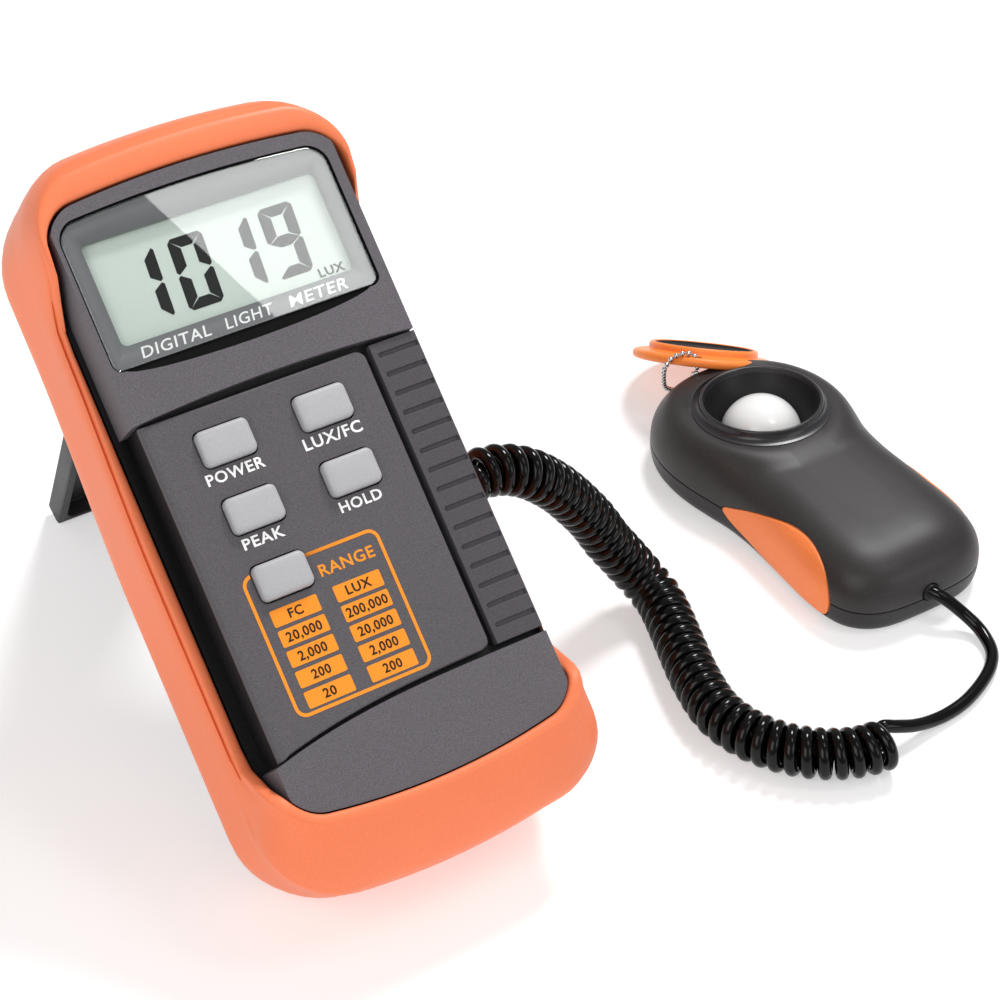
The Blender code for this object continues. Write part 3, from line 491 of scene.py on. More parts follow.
ORANGE = surface("holster_rubber_look", "F37F52", 0.46, grain=0.03, size=2600, bump=0.03, shine=0.35)
CASE = surface("case_look", "5D595E", 0.55, grain=0.22, size=4200, bump=0.12)
# A near-black copy of the case colour for its ledge and side walls: painted shade in the gap between the
# holster's rim and the face.
CASE_SIDE_SHADE = surface("case_side_painted_shade_look", "1C1B1D", 0.5, grain=0.14, size=1600, bump=0.1, shine=0.2)
REAR = surface("rear_case_look", "3A393C", 0.6, grain=0.14, size=1600, bump=0.12)
PANEL = surface("keypad_look", "565256", 0.55, grain=0.22, size=4200, bump=0.12)
GRIP = surface("grip_look", "4A464B", 0.6, grain=0.2, size=4200, bump=0.12)
KEY = surface("key_look", "B0AFB2", 0.42, grain=0.03, size=2200, bump=0.03)
PRINT_WHITE = surface("white_print", "FFFFFF", 0.55, grain=0.02, size=3000, bump=0.0)
PRINT_ORANGE = surface("orange_print", "F9952A", 0.5, grain=0.03, size=3000, bump=0.0, shine=0.2)
PRINT_DARK = surface("dark_print", "2A2018", 0.5, grain=0.03, size=3000, bump=0.0, shine=0.2)
STAND_LOOK = surface("stand_look", "1C1B1C", 0.5, grain=0.12, size=1500, bump=0.1)
SENSOR_LOOK = surface("sensor_look", "302D2D", 0.42, grain=0.2, size=4200, bump=0.05, shine=0.3)
SENSOR_UNDER = surface("sensor_base_look", "252324", 0.42, grain=0.08, size=2000, bump=0.05)
SENSOR_ORANGE = surface("sensor_grip_look", "FF8A4A", 0.4, grain=0.04, size=2600, bump=0.04)
COLLAR = surface("collar_look", "29272A", 0.3, grain=0.05, size=2400, bump=0.03, shine=0.45)
WELL = surface("well_look", "131315", 0.4, grain=0.06, size=2400, bump=0.04)
DOME = surface("dome_look", "EDEDEC", 0.2, grain=0.01, size=2000, bump=0.0, coat=0.5)
CAP_LOOK = surface("cap_look", "FF8A3A", 0.4, grain=0.04, size=2600, bump=0.04)
# Near-black: the cap's own black lining, and also painted shade on the cut faces of the window seat and of
# the hollow under the window.
LINER_AND_SHADE_BLACK = surface("liner_and_painted_shade_look", "0B0B0B", 0.8, grain=0.2, size=1800, bump=0.1, shine=0.15)
CORD_LOOK = surface("cord_look", "050505", 0.13, grain=0.1, size=1800, bump=0.0, shine=0.22)
RUBBER = surface("gland_look", "121213", 0.45, grain=0.12, size=1800, bump=0.06, shine=0.25)
STEEL = surface("steel_look", "C9CACC", 0.22, metal=1.0, grain=0.05, size=2500, bump=0.02)
FRAME_GREY = surface("window_frame_look", "78787B", 0.4, grain=0.02, size=2500, bump=0.0, shine=0.1)
LCD = surface("lcd_look", "D3DDD6", 0.45, grain=0.015, size=1200, bump=0.0, shine=0.1)
# A darker copy of the display's pale green-grey, for the wall round it: painted shade.
LCD_RIM_SHADE = surface("lcd_rim_painted_shade_look", "848B85", 0.5, grain=0.02, size=1200, bump=0.0, shine=0.1)
SEGMENT = surface("segment_look", "101111", 0.45, grain=0.02, size=2500, bump=0.0, shine=0.1)


def window_material():
    """Clear plastic: straight through, with a reflection on top that grows towards grazing angles."""
    mat = bpy.data.materials.new("window_look")
    mat.use_nodes = True
    nodes = mat.node_tree.nodes
    links = mat.node_tree.links
    nodes.remove(nodes["Principled BSDF"])
    clear = nodes.new("ShaderNodeBsdfTransparent")
    clear.inputs["Color"].default_value = (0.97, 0.98, 0.975, 1)
    gloss = nodes.new("ShaderNodeBsdfGlossy")
    smudge = noise(nodes, links, nodes.new("ShaderNodeTexCoord"), 60, 2)
    links.new(remap(nodes, links, smudge, (0, 1), (0, 0.012)), gloss.inputs["Roughness"])
    facing = nodes.new("ShaderNodeLayerWeight")
    steep = nodes.new("ShaderNodeMath")
    steep.operation = "POWER"
    steep.inputs[1].default_value = 5
    links.new(facing.outputs["Facing"], steep.inputs[0])
    edge = nodes.new("ShaderNodeMath")
    edge.operation = "MULTIPLY_ADD"
    edge.inputs[1].default_value = 0.96
    edge.inputs[2].default_value = 0.04
    links.new(steep.outputs["Value"], edge.inputs[0])
    blend = nodes.new("ShaderNodeMixShader")
    links.new(edge.outputs["Value"], blend.inputs["Fac"])
    links.new(clear.outputs["BSDF"], blend.inputs[1])
    links.new(gloss.outputs["BSDF"], blend.inputs[2])
    links.new(blend.outputs["Shader"], nodes["Material Output"].inputs["Surface"])
    return mat


WINDOW = window_material()


# ---------------------------------------------------------------- the meter
def opening(g=0.0):
    """The holster's front opening."""
    return bowed(30.9 + g, 12.0 - g, 130.6 + g, 7 + g, 7 + g, 3.4, 2.2)


def tapered(outline):
    """Draws an outline in a little towards the meter's top end."""
    return [(u * (1 - 0.04 * ease((v - 62) / 50)), v) for u, v in outline]


def ridge():
    return tapered(bowed(33.3, 9.8, 135.3, 9.5, 10, 3.2, 2.6))


def bulge():
    return tapered(bowed(34.7, -2.2, 140.9, 15, 16.5, 4.0, 3.0))


def shoulder():
    """Just below the crest, where the rim stands out further round its lower corners."""
    outline = tapered(bowed(34.35, -1.8, 139.5, 11.5, 14, 2.8, 2.9))
    return [(u * (1 + 0.035 * ease((16 - v) / 8)), v) for u, v in outline]


def belly(n):
    """The holster's outline below its widest ends, as far as its underside."""
    t = n / 12
    low = -2.7 * t**0.5
    high = 136 + 4.2 * t**0.6
    return tapered(bowed(31 + 4.3 * t**0.7, low, high, 12.5 + 4 * t, 12 + 4.5 * t, 2.5 * t, 2.5 * t))


def case_mid(g=0.0):
    """The case at its widest, inside the holster."""
    return bowed(32.5 + g, 0.8 - g, 136.5 + g, 12 + g, 12 + g, 2.4, 2.0)


def lip_height(v):
    """The holster's rim stands low along its sides and high round both ends."""
    low = ease((26.0 - v) / 12.0)
    high = ease((v - 110.0) / 14.0)
    return LIP_SIDE + (LIP_END - LIP_SIDE) * max(low, high)


def holster():
    """The rubber boot: a soft rim, higher at both ends, on a body that swells and tapers to the back."""
    top = [lip_height(v) for _, v in ridge()]
    inner, crest, outer = opening(), ridge(), bulge()

    def lifted(outline, drop=0.0, share=1.0):
        """Follows the rim's height, all the way or a share of it, and a little below."""
        return [(u, v, LIP_FOOT + (n - LIP_FOOT) * share - drop) for (u, v), n in zip(outline, top)]

    inside = [
        at_n(bowed(26.2, 5.4, 129.5, 2.0, 6), 0.3),
        at_n(bowed(26.2, 5.4, 129.5, 2.0, 6), 1.4),
        at_n(bowed(29.5, 2.7, 133.8, 8.3, 9.3), 1.7),
        at_n(bowed(31.9, 1.3, 136.3, 11.3, 11.3, 1.5, 1.5), 8.0),
        at_n(case_mid(0.3), 14.0),
        at_n(case_mid(0.3), 24.6),
        at_n(inner, 24.6),
        lifted(inner, 1.4),
    ]
    rim = [
        lifted(inner, 0.8),
        lifted(mix(inner, crest, 0.12), 0.25),
        lifted(mix(inner, crest, 0.4)),
        lifted(mix(inner, crest, 0.75), 0.02),
        lifted(crest, 0.35),
        lifted(mix(crest, outer, 0.12), 1.1),
        lifted(mix(crest, outer, 0.4), share=0.8),
        lifted(shoulder(), share=0.45),
        lifted(mix(shoulder(), outer, 0.7), 0.6, 0.16),
        at_n(outer, 22.4),
        at_n(mix(outer, belly(12.0), 0.55), 17.6),
        *[at_n(belly(n), n) for n in (12.0, 8.0, 5.0, 2.6)],
        at_n(mix(belly(0.8), belly(2.6), 0.3), 0.9),
        at_n(mix(belly(0.0), belly(0.8), 0.3), 0.15),
        at_n(bowed(29.6, 1.4, 134.6, 11, 9), 0.0),
    ]
    lines = [smooth(line, 3) for line in zip(*rim)]
    skin = [[rested(point) for point in ring] for ring in zip(*lines)]
    body = loft("holster_boot", inside + skin, METER, ORANGE, closed=True, angle=50)
    way_out = METER @ Matrix.Translation((38, CORD_V, CORD_N)) @ ALONG_U
    carve(body, bore(4.3, -8, 8, way_out, 96))
    shade(body, 50)
    return belongs(body, "meter", "holster", "holster")


def rested(point):
    """A point of the holster, held just above the floor."""
    u, v, n = point
    return (u, v, max(n, (0.03 - v * math.sin(LEAN)) / math.cos(LEAN)))


def foot_edge(u):
    """The curved upper edge of the face's foot panel."""
    return 25.8 - (5.1 * ((20 - u) / 52.6) ** 3 if u < 20 else 0.0)


def display_edge(u):
    """The arched lower edge of the display block."""
    return 88.3 + 1.3 * (1 - (u / FACE_HALF_W) ** 2)


def display_outline():
    """Round the display: its right side stands a little further in, and its upper end follows the opening."""
    a = FACE_HALF_W
    right = a - 0.4
    top = [(max(-a, min(right, u)), v) for u, v in opening(-0.6) if v > 110]
    low = []
    for i in range(33):
        t = i / 16 - 1
        low.append((right * t if t > 0 else a * t, display_edge(a * t)))
    return low + top


def foot_outline():
    a = FACE_HALF_W
    high = [(a - 2 * a * i / 32, foot_edge(a - 2 * a * i / 32)) for i in range(33)]
    ends = [(max(-a, min(a, u)), v) for u, v in opening(-0.3) if v < 18.5]
    ends.sort(key=lambda p: math.atan2(p[1] - 18.6, p[0]))
    return ends + high


def window_outline(g=0.0):
    """The display window, with a slightly arched upper edge."""
    outline = bowed(27.5 + g, 98.8 - g, 127.4 + g, 1.6 + g, 3.6 + g, 0.0, 1.4, side=4)
    return [(u + WINDOW_SHIFT, v) for u, v in outline]


def crescent():
    """The hollow that shows under the window: half an ellipse, closed behind the pane."""
    edge, half, drop = 98.7, 25.6, 2.4
    middle = WINDOW_SHIFT - 0.2
    angles = [math.pi * (1 + i / 24) for i in range(25)]
    low = [(middle + half * math.cos(a), edge + drop * math.sin(a)) for a in angles]
    return low + [(middle + half, edge + 1.3), (middle - half, edge + 1.3)]


def key_hole(name, n0, n1, grow=0.3):
    u, v = BUTTONS[name]
    w = BUTTON_W / 2 + grow
    h = BUTTON_H / 2 + grow
    return prism("hole", rounded(u - w, u + w, v - h, v + h, 1.2 + grow), n0, n1, METER)


def front_case():
    """The dark face: ledge, display block, deck under the keys and the foot panel."""
    # The ledge, deck, web, skirt and sill take the near-black case colour: painted shade in the gaps round
    # and under the face.
    ledge = prism("ledge", opening(-0.3), 24.2, LEDGE, METER, CASE_SIDE_SHADE)
    carve(ledge, box("room", (-27.4, 27.4, 14, 128, 20, 30), METER))
    block = prism("display_block", display_outline(), 25.2, FACE_DISPLAY, METER, CASE)
    # The window seat and the hollow under it keep the near-black on their cut faces: painted shade round the
    # window and in the hollow.
    carve(
        block,
        prism("seat", window_outline(0.4), 36.1, 39, METER, LINER_AND_SHADE_BLACK),
        prism("crescent", crescent(), 36.3, 39, METER, LINER_AND_SHADE_BLACK),
        box("room", (-25.9, 25.9, 101.5, 125.0, 20, 37), METER),
    )
    soften(block, 0.7, 3, shade_angle=12)
    deck = box("deck", (-27.9, 29.6, 20.0, 92.0, 25.4, DECK), METER, CASE_SIDE_SHADE)
    web = box("web", (29.0, 29.58, 25.0, 27.2, DECK - 0.1, 36.2), METER, CASE_SIDE_SHADE)
    carve(deck, box("room", (-25.9, 27.5, 25.0, 91.0, 20, 32.5), METER))
    for name in BUTTONS:
        carve(deck, key_hole(name, 30, 36))
    foot = prism("foot_panel", foot_outline(), 25.3, FACE_FOOT, METER, CASE)
    carve(foot, box("room", (-26, 26, 13, 24, 20, 34.9), METER))
    soften(foot, 0.7, 3, shade_angle=12)
    skirt = loft("skirt", [at_n(case_mid(), 18.65), at_n(case_mid(), 24.2)], METER, CASE_SIDE_SHADE)
    carve(skirt, loft("room", [at_n(case_mid(-2), 18), at_n(case_mid(-2), 25)], METER))
    sill = loft("sill", [at_n(case_mid(-0.01), 22.6), at_n(case_mid(-0.01), 24.15)], METER, CASE_SIDE_SHADE)
    carve(sill, box("room", (-27.5, 27.5, 14, 128, 20, 30), METER))
    body = join("front_case_shell", ledge, block, deck, web, foot, skirt, sill)
    return belongs(body, "meter", "front_case", "front_case")


def keypad():
    """The raised plate under the keys, with a light chamfer on its left and holes for the keys."""
    left, right, high, r = -28.3, 18.3, 87.9, 2.0
    mid_u, mid_v = -5, 57
    low = []
    for i in range(25):
        u = left + (right - r - left) * i / 24
        low.append((u, foot_edge(u) + 0.5 + 0.025 * i))
    outline = low + [(17.6, 27.3), (18.1, 27.8), (right, 28.6)]
    outline += arc(right - r, high - r, r, 0, range(7), 6) + [(left, high)]

    def level(inset_left, inset, n):
        """The outline at one height, drawn in further on its left."""
        pts = []
        for u, v in outline:
            shift = inset_left if u < left + 0.3 else inset * (-1 if u > mid_u else 1)
            pts.append((u + shift, v + inset * (-1 if v > mid_v else 1), n))
        return pts

    rings = [
        level(0, 0, DECK + 0.3),
        level(0, 0, FACE_KEYPAD - 0.75),
        level(0.35, 0.05, FACE_KEYPAD - 0.35),
        level(1.1, 0.2, FACE_KEYPAD - 0.08),
        level(1.4, 0.45, FACE_KEYPAD),
    ]
    plate = loft("keypad_plate", rings, METER, PANEL)
    for name in BUTTONS:
        carve(plate, key_hole(name, 33, 39, 0.35))
    shade(plate, 12)
    return belongs(plate, "meter", "keypad_panel", "keypad_panel")


def side_grip():
    """The strip for the thumb: shallow slots that are rounded at their inner ends."""
    strip = box("grip_strip", (19.6, 29.5, 26.9, 88.0, DECK + 0.3, FACE_KEYPAD), METER, GRIP)
    inner, outer, r = 21.2, 29.2, 0.5
    for i in range(GRIP_SLOTS):
        v = GRIP_FIRST + GRIP_PITCH * i
        slot = [(outer, v - r), (outer, v + r)]
        slot += arc(inner, v, r, 90, range(9), 4)
        carve(strip, prism("slot", slot, FACE_KEYPAD - 0.55, 38, METER))
    soften(strip, 0.12, 2, shade_angle=12)
    return belongs(strip, "meter", "side_grip", "side_grip")


def key(name):
    """A light key cap with round corners and a gently domed top, and its shoulder and foot underneath."""
    u, v = BUTTONS[name]
    w, h = BUTTON_W / 2, BUTTON_H / 2

    def level(inset, r, n):
        return at_n(rounded(u - w + inset, u + w - inset, v - h + inset, v + h - inset, r), n)

    rings = [level(-0.9, 1.2, 30.9), level(-0.9, 1.2, 32.0), level(0, 1.25, 32.0), level(0, 1.25, 37.5)]
    for inset, drop in ((0.08, 0.6), (0.28, 0.3), (0.62, 0.12), (1.2, 0.05), (2.2, 0.0)):
        rings.append(level(inset, max(0.6, 1.25 - inset * 0.2), BUTTON_TOP - drop))
    cap = loft(f"key_cap_{name}", rings, METER, KEY, angle=40)
    foot = box("foot", (u - 1.5, u + 1.5, v - 1.5, v + 1.5, 30.1, 31.0), METER, KEY)
    whole = join(f"key_{name}_cap", cap, foot)
    return belongs(whole, f"key_{name}", f"button_{name}", f"button_{name}")


def lettering(name, text, u0, u1, v0, v1, n, mat, lean=0.0, weight=0.02, thick=0.04, spacing=1.1):
    """Text fitted between its left, right, lower and upper limits, just proud of a face."""
    data = bpy.data.curves.new(name, "FONT")
    data.body = text
    data.offset = weight
    data.shear = lean
    data.space_character = spacing
    data.resolution_u = 3
    obj = bpy.data.objects.new(name, data)
    bpy.context.scene.collection.objects.link(obj)
    bpy.context.view_layer.update()
    settled = bpy.data.meshes.new_from_object(obj.evaluated_get(bpy.context.evaluated_depsgraph_get()))
    bpy.data.objects.remove(obj, do_unlink=True)
    bm = bmesh.new()
    bm.from_mesh(settled)
    xs = [p.co.x for p in bm.verts]
    ys = [p.co.y for p in bm.verts]
    x0, x1, y0, y1 = min(xs), max(xs), min(ys), max(ys)
    for p in bm.verts:
        p.co.x = u0 + (p.co.x - x0) / (x1 - x0) * (u1 - u0)
        p.co.y = v0 + (p.co.y - y0) / (y1 - y0) * (v1 - v0)
        p.co.z = n + thick
    grown = bmesh.ops.extrude_face_region(bm, geom=list(bm.faces))
    for item in grown["geom"]:
        if isinstance(item, bmesh.types.BMVert):
            item.co.z = n - 0.02
    bmesh.ops.recalc_face_normals(bm, faces=bm.faces)
    return piece(name, bm, METER, mat, 30)


def printing():
    """The white and orange legends on the keypad, and the table of ranges."""
    n = FACE_KEYPAD
    low, high = n - 0.02, n + 0.05
    marks = [
        lettering("legend_power", "POWER", -20.4, -8.6, 73.4, 75.6, n, PRINT_WHITE),
        lettering("legend_lux_fc", "LUX/FC", -0.3, 11.9, 73.3, 75.6, n, PRINT_WHITE),
        lettering("legend_peak", "PEAK", -18.8, -10.4, 60.2, 62.3, n, PRINT_WHITE),
        lettering("legend_hold", "HOLD", 1.4, 10.2, 60.2, 62.3, n, PRINT_WHITE),
        lettering("legend_range", "RANGE", -7.2, 4.2, 50.6, 52.9, n, PRINT_ORANGE),
    ]
    outer = rounded(-22.0, 6.4, 28.0, 55.8, 2.2, 8)
    inner = rounded(-21.35, 5.75, 28.65, 55.15, 1.6, 8)
    rings = [at_n(outer, low), at_n(outer, high), at_n(inner, high), at_n(inner, low)]
    line = loft("range_frame", rings, METER, PRINT_ORANGE, closed=True)
    u, v = BUTTONS["range"]
    carve(line, box("gap", (u - 5.7, u + 5.7, v - 4, v + 4.0, 30, 40), METER))
    marks.append(line)
    rows = (45.05, 41.1, 37.15, 33.15, 29.15)
    columns = (
        (-19.3, -9.6, ("FC", "20,000", "2,000", "200", "20"), (2.9, 7.2, 5.8, 3.8, 2.6)),
        (-6.2, 3.6, ("LUX", "200,000", "20,000", "2,000", "200"), (5.2, 8.5, 7.2, 5.8, 3.8)),
    )
    for u0, u1, words, widths in columns:
        for base, word, width in zip(rows, words, widths):
            outline = rounded(u0, u1, base, base + 3.2, 0.35)
            marks.append(prism("cell", outline, low, high, METER, PRINT_ORANGE))
            left = (u0 + u1 - width) / 2
            foot = base + (0.35 if "," in word else 0.72)
            text = lettering("cell_text", word, left, left + width, foot, base + 2.55, high, PRINT_DARK)
            marks.append(text)
    legends = join("keypad_printing", *marks)
    return belongs(legends, "meter", "keypad_panel")


def segments(u, v, w, h, lit, lean=0.07, t=2.5):
    """One seven-segment figure, its strokes mitred where they meet; lit lists the strokes in use."""
    gap, c, k, tip = 0.1, 0.8, t * 0.9, t * 0.48
    top = [(c, h), (w - c, h), (w - c / 2, h - c / 2), (w - t, h - k), (t, h - k), (c / 2, h - c / 2)]
    mid = h / 2
    bar = [(0.5, mid), (t, mid + tip), (w - t, mid + tip), (w - 0.5, mid), (w - t, mid - tip), (t, mid - tip)]
    side = [(0, h - c), (c / 2, h - c / 2), (t, h - k), (t, mid + tip), (0.5, mid), (0, mid + 0.4)]

    def mirrored(stroke, across, down):
        return [(w - x if across else x, h - y if down else y) for x, y in stroke]

    strokes = {
        "a": top,
        "b": mirrored(side, True, False),
        "c": mirrored(side, True, True),
        "d": mirrored(top, False, True),
        "e": mirrored(side, False, True),
        "f": side,
        "g": bar,
    }

    def drawn_in(value, middle):
        return value + gap * (1 if value < middle - 0.3 else -1 if value > middle + 0.3 else 0)

    made = []
    for letter in lit:
        pts = strokes[letter]
        cx = sum(p[0] for p in pts) / len(pts)
        cy = sum(p[1] for p in pts) / len(pts)
        out = []
        for x, y in pts:
            y = drawn_in(y, cy)
            out.append((u + drawn_in(x, cx) + y * lean, v + y))
        made.append(prism("stroke", out, LCD_FACE, LCD_FACE + 0.06, METER, SEGMENT))
    return made


def display():
    """The sunk display: its pale glass with a shaded rim, figures, printed frame and clear window."""
    n = LCD_FACE
    figures = [box("pale", (-25.7, 25.7, 101.7, 124.9, n - 0.8, n), METER, LCD)]
    for u, lit in ((-19.9, "bc"), (-9.8, "abcdef"), (-0.4, "bc"), (9.1, "abcdfg")):
        figures += segments(u, 105.4, 7.4, 14.3, lit)
    figures.append(lettering("unit", "LUX", 16.9, 22.4, 103.5, 105.3, n, SEGMENT, weight=0.03))
    glass = join("lcd_glass_figures", *figures)
    belongs(glass, "meter", "lcd_panel", "lcd_panel")
    face, under = 36.6, 36.3
    cut_out = rounded(-25.0, 23.7, 102.9, 123.3, 1.3, 8)
    rim = prism("rim", window_outline(-0.15), under - 0.15, face, METER, FRAME_GREY)
    carve(rim, prism("opening", cut_out, 30, 40, METER))
    # The wall round the sunk display is painted darker: painted shade at its edges.
    wall_out = rounded(-25.5, 24.2, 102.4, 123.8, 1.6, 8)
    rings = [at_n(wall_out, n), at_n(wall_out, under), at_n(cut_out, under), at_n(cut_out, n)]
    wall = loft("wall", rings, METER, LCD_RIM_SHADE, closed=True)
    low, high = 99.75, 101.95
    caption = []
    for word, u0, u1 in (("DIGITAL", -22.2, -8.1), ("LIGHT", -5.0, 5.1), ("METER", 8.4, 20.8)):
        text = lettering(word, word, u0, u1, low, high, face, PRINT_WHITE, 0.15, weight=0.008, thick=0.03)
        caption.append(text)
    frame_piece = join("window_frame", rim, wall, *caption)
    belongs(frame_piece, "meter", "lcd_bezel", "lcd_bezel")
    pane = prism("window_pane", window_outline(0.1), 36.75, 37.45, METER, WINDOW)
    soften(pane, 0.25, 2, shade_angle=12)
    return belongs(pane, "meter", "lcd_window", "lcd_window")


def tilt_stand():
    """The leg: a shallow tray that turns on its round upper end, with two long ribs and three across."""
    w, t = 15.8, 2.8
    side = [(-LEG, -t + 0.5), (-LEG + 0.5, -t)]
    side += arc(0, 0, t, -90, range(13), 6)
    side += [(-LEG + 1.4, t), (-LEG + 0.4, t - 0.4), (-LEG, t - 1.4)]
    rings = [[(x, v, n) for v, n in side] for x in (-w, w)]
    leg = loft("stand_leg", rings, STAND, STAND_LOOK)
    tray = prism("tray", rounded(-w + 1.8, w - 1.8, -LEG + 2.2, -5.5, 2.5), -t + 1.8, t + 2, STAND)
    carve(leg, tray, bore(1.4, -20, 20, STAND @ ALONG_U, 96))
    soften(leg, 0.45, 3)
    ribs = []
    low = -t + 1.2
    for x in (-5.2, 5.2):
        rib = box("rib", (x - 0.7, x + 0.7, -LEG + 1.9, -5.0, low, t - 1.3), STAND, STAND_LOOK)
        ribs.append(soften(rib, 0.25, 2))
    for v in (-70.0, -45.0, -22.0):
        rib = box("rib", (-w + 1.5, w - 1.5, v - 0.6, v + 0.6, low, t - 2.4), STAND, STAND_LOOK)
        ribs.append(soften(rib, 0.2, 2))
    whole = join("stand_leg_ribbed", leg, *ribs)
    shade(whole)
    return belongs(whole, "stand", "tilt_stand", "tilt_stand")


def carried_over():
    """Finishes for the CAD pieces that stay as they are, and softened edges where they are seen."""
    nodes = frame["nodes"]
    switch = surface("switch_look", "26262A", 0.5, grain=0.1)
    looks = {
        "rear_case": REAR,
        "battery_door": surface("door_look", "3D3C3F", 0.55, grain=0.14, size=1600, bump=0.1),
        "stand_pin": STEEL,
        "chain_eyelet": STEEL,
        "cap_liner": LINER_AND_SHADE_BLACK,
        "main_pcb": surface("board_look", "1E5B36", 0.4, grain=0.12, size=900),
        "sensor_pcb": surface("sensor_board_look", "1E5B36", 0.4, grain=0.12, size=900),
    }
    for name, look, code, rough, metal, grain in (
        ("lcd_reflector", "foil_look", "D8D8D4", 0.35, 0.6, 0.04),
        ("main_chip", "chip_look", "1C1C1E", 0.45, 0.0, 0.1),
        ("crystal", "crystal_look", "C8C9CC", 0.3, 1.0, 0.04),
        ("trimmer", "trimmer_look", "2C4E96", 0.5, 0.0, 0.08),
        ("battery_contact", "contact_look", "C4C5C8", 0.3, 1.0, 0.05),
        ("battery_cell_low", "cell_low_look", "6B7076", 0.35, 0.7, 0.05),
        ("battery_cell_top", "cell_top_look", "6B7076", 0.35, 0.7, 0.05),
        ("zebra_strip_top", "zebra_top_look", "D98A9C", 0.7, 0.0, 0.05),
        ("zebra_strip_low", "zebra_low_look", "D58496", 0.7, 0.0, 0.05),
        ("colour_filter", "filter_look", "6E9B68", 0.2, 0.0, 0.04),
        ("photodiode", "photodiode_look", "C9A868", 0.3, 0.9, 0.05),
    ):
        looks[name] = surface(look, code, rough, metal, grain)
    for name in nodes:
        if name.startswith("key_switch_"):
            looks[name] = switch
        if name.startswith(("case_screw_", "sensor_screw_")):
            looks[name] = STEEL
    for name, look in looks.items():
        obj = nodes[name]
        for k in range(len(obj.material_slots)):
            obj.material_slots[k].link = "OBJECT"
            obj.material_slots[k].material = look
    for name, width in (("rear_case", 0.5), ("battery_door", 0.2)):
        step = nodes[name].modifiers.new("edges", "BEVEL")
        step.width = width * MM
        step.segments = 2
        step.limit_method = "ANGLE"
        step.angle_limit = math.radians(50)


def glands():
    """The sleeve under the first turns of the cord at the meter, and the short one at the sensor."""
    at = METER @ Matrix.Translation((0, CORD_V, CORD_N)) @ ALONG_U
    sleeve = [(0, 27.9), (4.5, 27.9), (4.5, 28.8), (3.3, 29.0), (3.3, 35.6), (4.3, 35.8), (4.3, 36.3)]
    stub = turned("meter_gland", sleeve + [(2.1, 36.5), (2.1, 38.6), (0, 38.8)], at, RUBBER, steps=48)
    belongs(stub, "meter", "cord_gland_meter", "cord_gland_meter")
    at = SENSOR @ Matrix.Translation(TAIL_AT) @ Matrix.Translation((0, 0.4, 0)) @ ALONG_TAIL
    sleeve = [(0, -5.2), (2.9, -5.2), (2.9, -4.6), (1.95, -4.4), (1.95, 1.0), (1.8, 1.25), (0, 1.25)]
    stub = turned("sensor_gland", sleeve, at, RUBBER, steps=48)
    belongs(stub, "sensor", "cord_gland_sensor", "cord_gland_sensor")


# ---------------------------------------------------------------- the sensor
SENSOR_HALF = (
    (0, -41.5), (7, -41.3), (12.1, -40.4), (16, -38.4), (18.8, -35.1), (20.2, -30.5), (20.7, -24.8),
    (20.5, -18), (20.1, -10), (19.9, -3), (20.5, 4), (21.8, 10), (23.0, 16), (23.4, 22),
    (22.6, 28), (20.3, 33.5), (16.5, 38), (11.3, 41.2), (5.6, 42.7), (0, 43.0),
)
SENSOR_LEVELS = (
    (0.0, 3.0), (0.25, 2.1), (0.8, 1.2), (2.4, 0.35), (5.4, 0.0), (9.0, 0.2), (12.0, 1.2), (14.4, 3.2),
    (15.9, 6.0), (16.8, 9.5), (17.2, 13.5), (17.35, 17.5),
)


def sensor_outline(inset=0.0, per=5):
    """The body from above, drawn in evenly; both halves are one smooth line."""
    half_width, half_length = 23.4, 43.0
    kx = 0.978 * (half_width - inset) / half_width
    ky = 1.012 * (half_length - inset) / half_length
    right = smooth([(x * kx, y * ky) for x, y in SENSOR_HALF], per)
    right[0] = (0.0, right[0][1])
    left = [(-x, y) for x, y in right[-2:0:-1]]
    return right + left


def sensor_rings(extra=0.0):
    """The sensor's skin, level by level; extra moves it inwards."""
    rings = []
    for z, inset in smooth(SENSOR_LEVELS, 4):
        low = 1.0 if extra and z < 0.5 else 0.0
        high = extra if z > 12 else 0.0
        rings.append(at_n(sensor_outline(max(0.0, inset) + extra), z - low - high))
    return rings


def swollen(x, y, z):
    """The height of a point of the body's skin, which rises around the collar."""
    beyond = y - COLLAR_AT[1]
    lift = ease((23.5 - math.hypot(x, beyond)) / 7.0)
    top = 16.9 - 0.087 * beyond
    return z + max(0.0, top - z) * lift


def grip_lens(sign, grow):
    """A lens-shaped block that marks out one side grip."""
    edge = (
        (-30.5, 1.6), (-32.2, 4.7), (-31.4, 9.2), (-28.2, 12.8), (-22.0, 14.6), (-14.0, 14.1), (-5.0, 11.3),
        (1.5, 8.5), (5.2, 6.5), (3.0, 4.4), (-2.0, 2.9), (-8.0, 1.9), (-14.0, 1.5), (-26.0, 1.4),
    )
    pts = smooth(edge, 5, closed=True)
    mid = (sum(p[0] for p in pts) / len(pts), sum(p[1] for p in pts) / len(pts))
    out = []
    for y, z in pts:
        away = Vector((y - mid[0], z - mid[1]))
        reach = away.length
        away = away * ((reach + grow) / reach)
        out.append((mid[0] + away.x, mid[1] + away.y))
    rings = [[(sign * x, y, z) for y, z in out] for x in (10.5 - grow, 27.0)]
    return loft("lens", rings, SENSOR)


def sensor_shell(name, away, mat):
    """The body without the part between two heights."""
    rings = [[(x, y, swollen(x, y, z) if z > 8 else z) for x, y, z in ring] for ring in sensor_rings()]
    shell = loft(name, rings, SENSOR, mat, angle=60)
    return carve(shell, box("away", (-60, 60, -80, 80, *away), SENSOR))


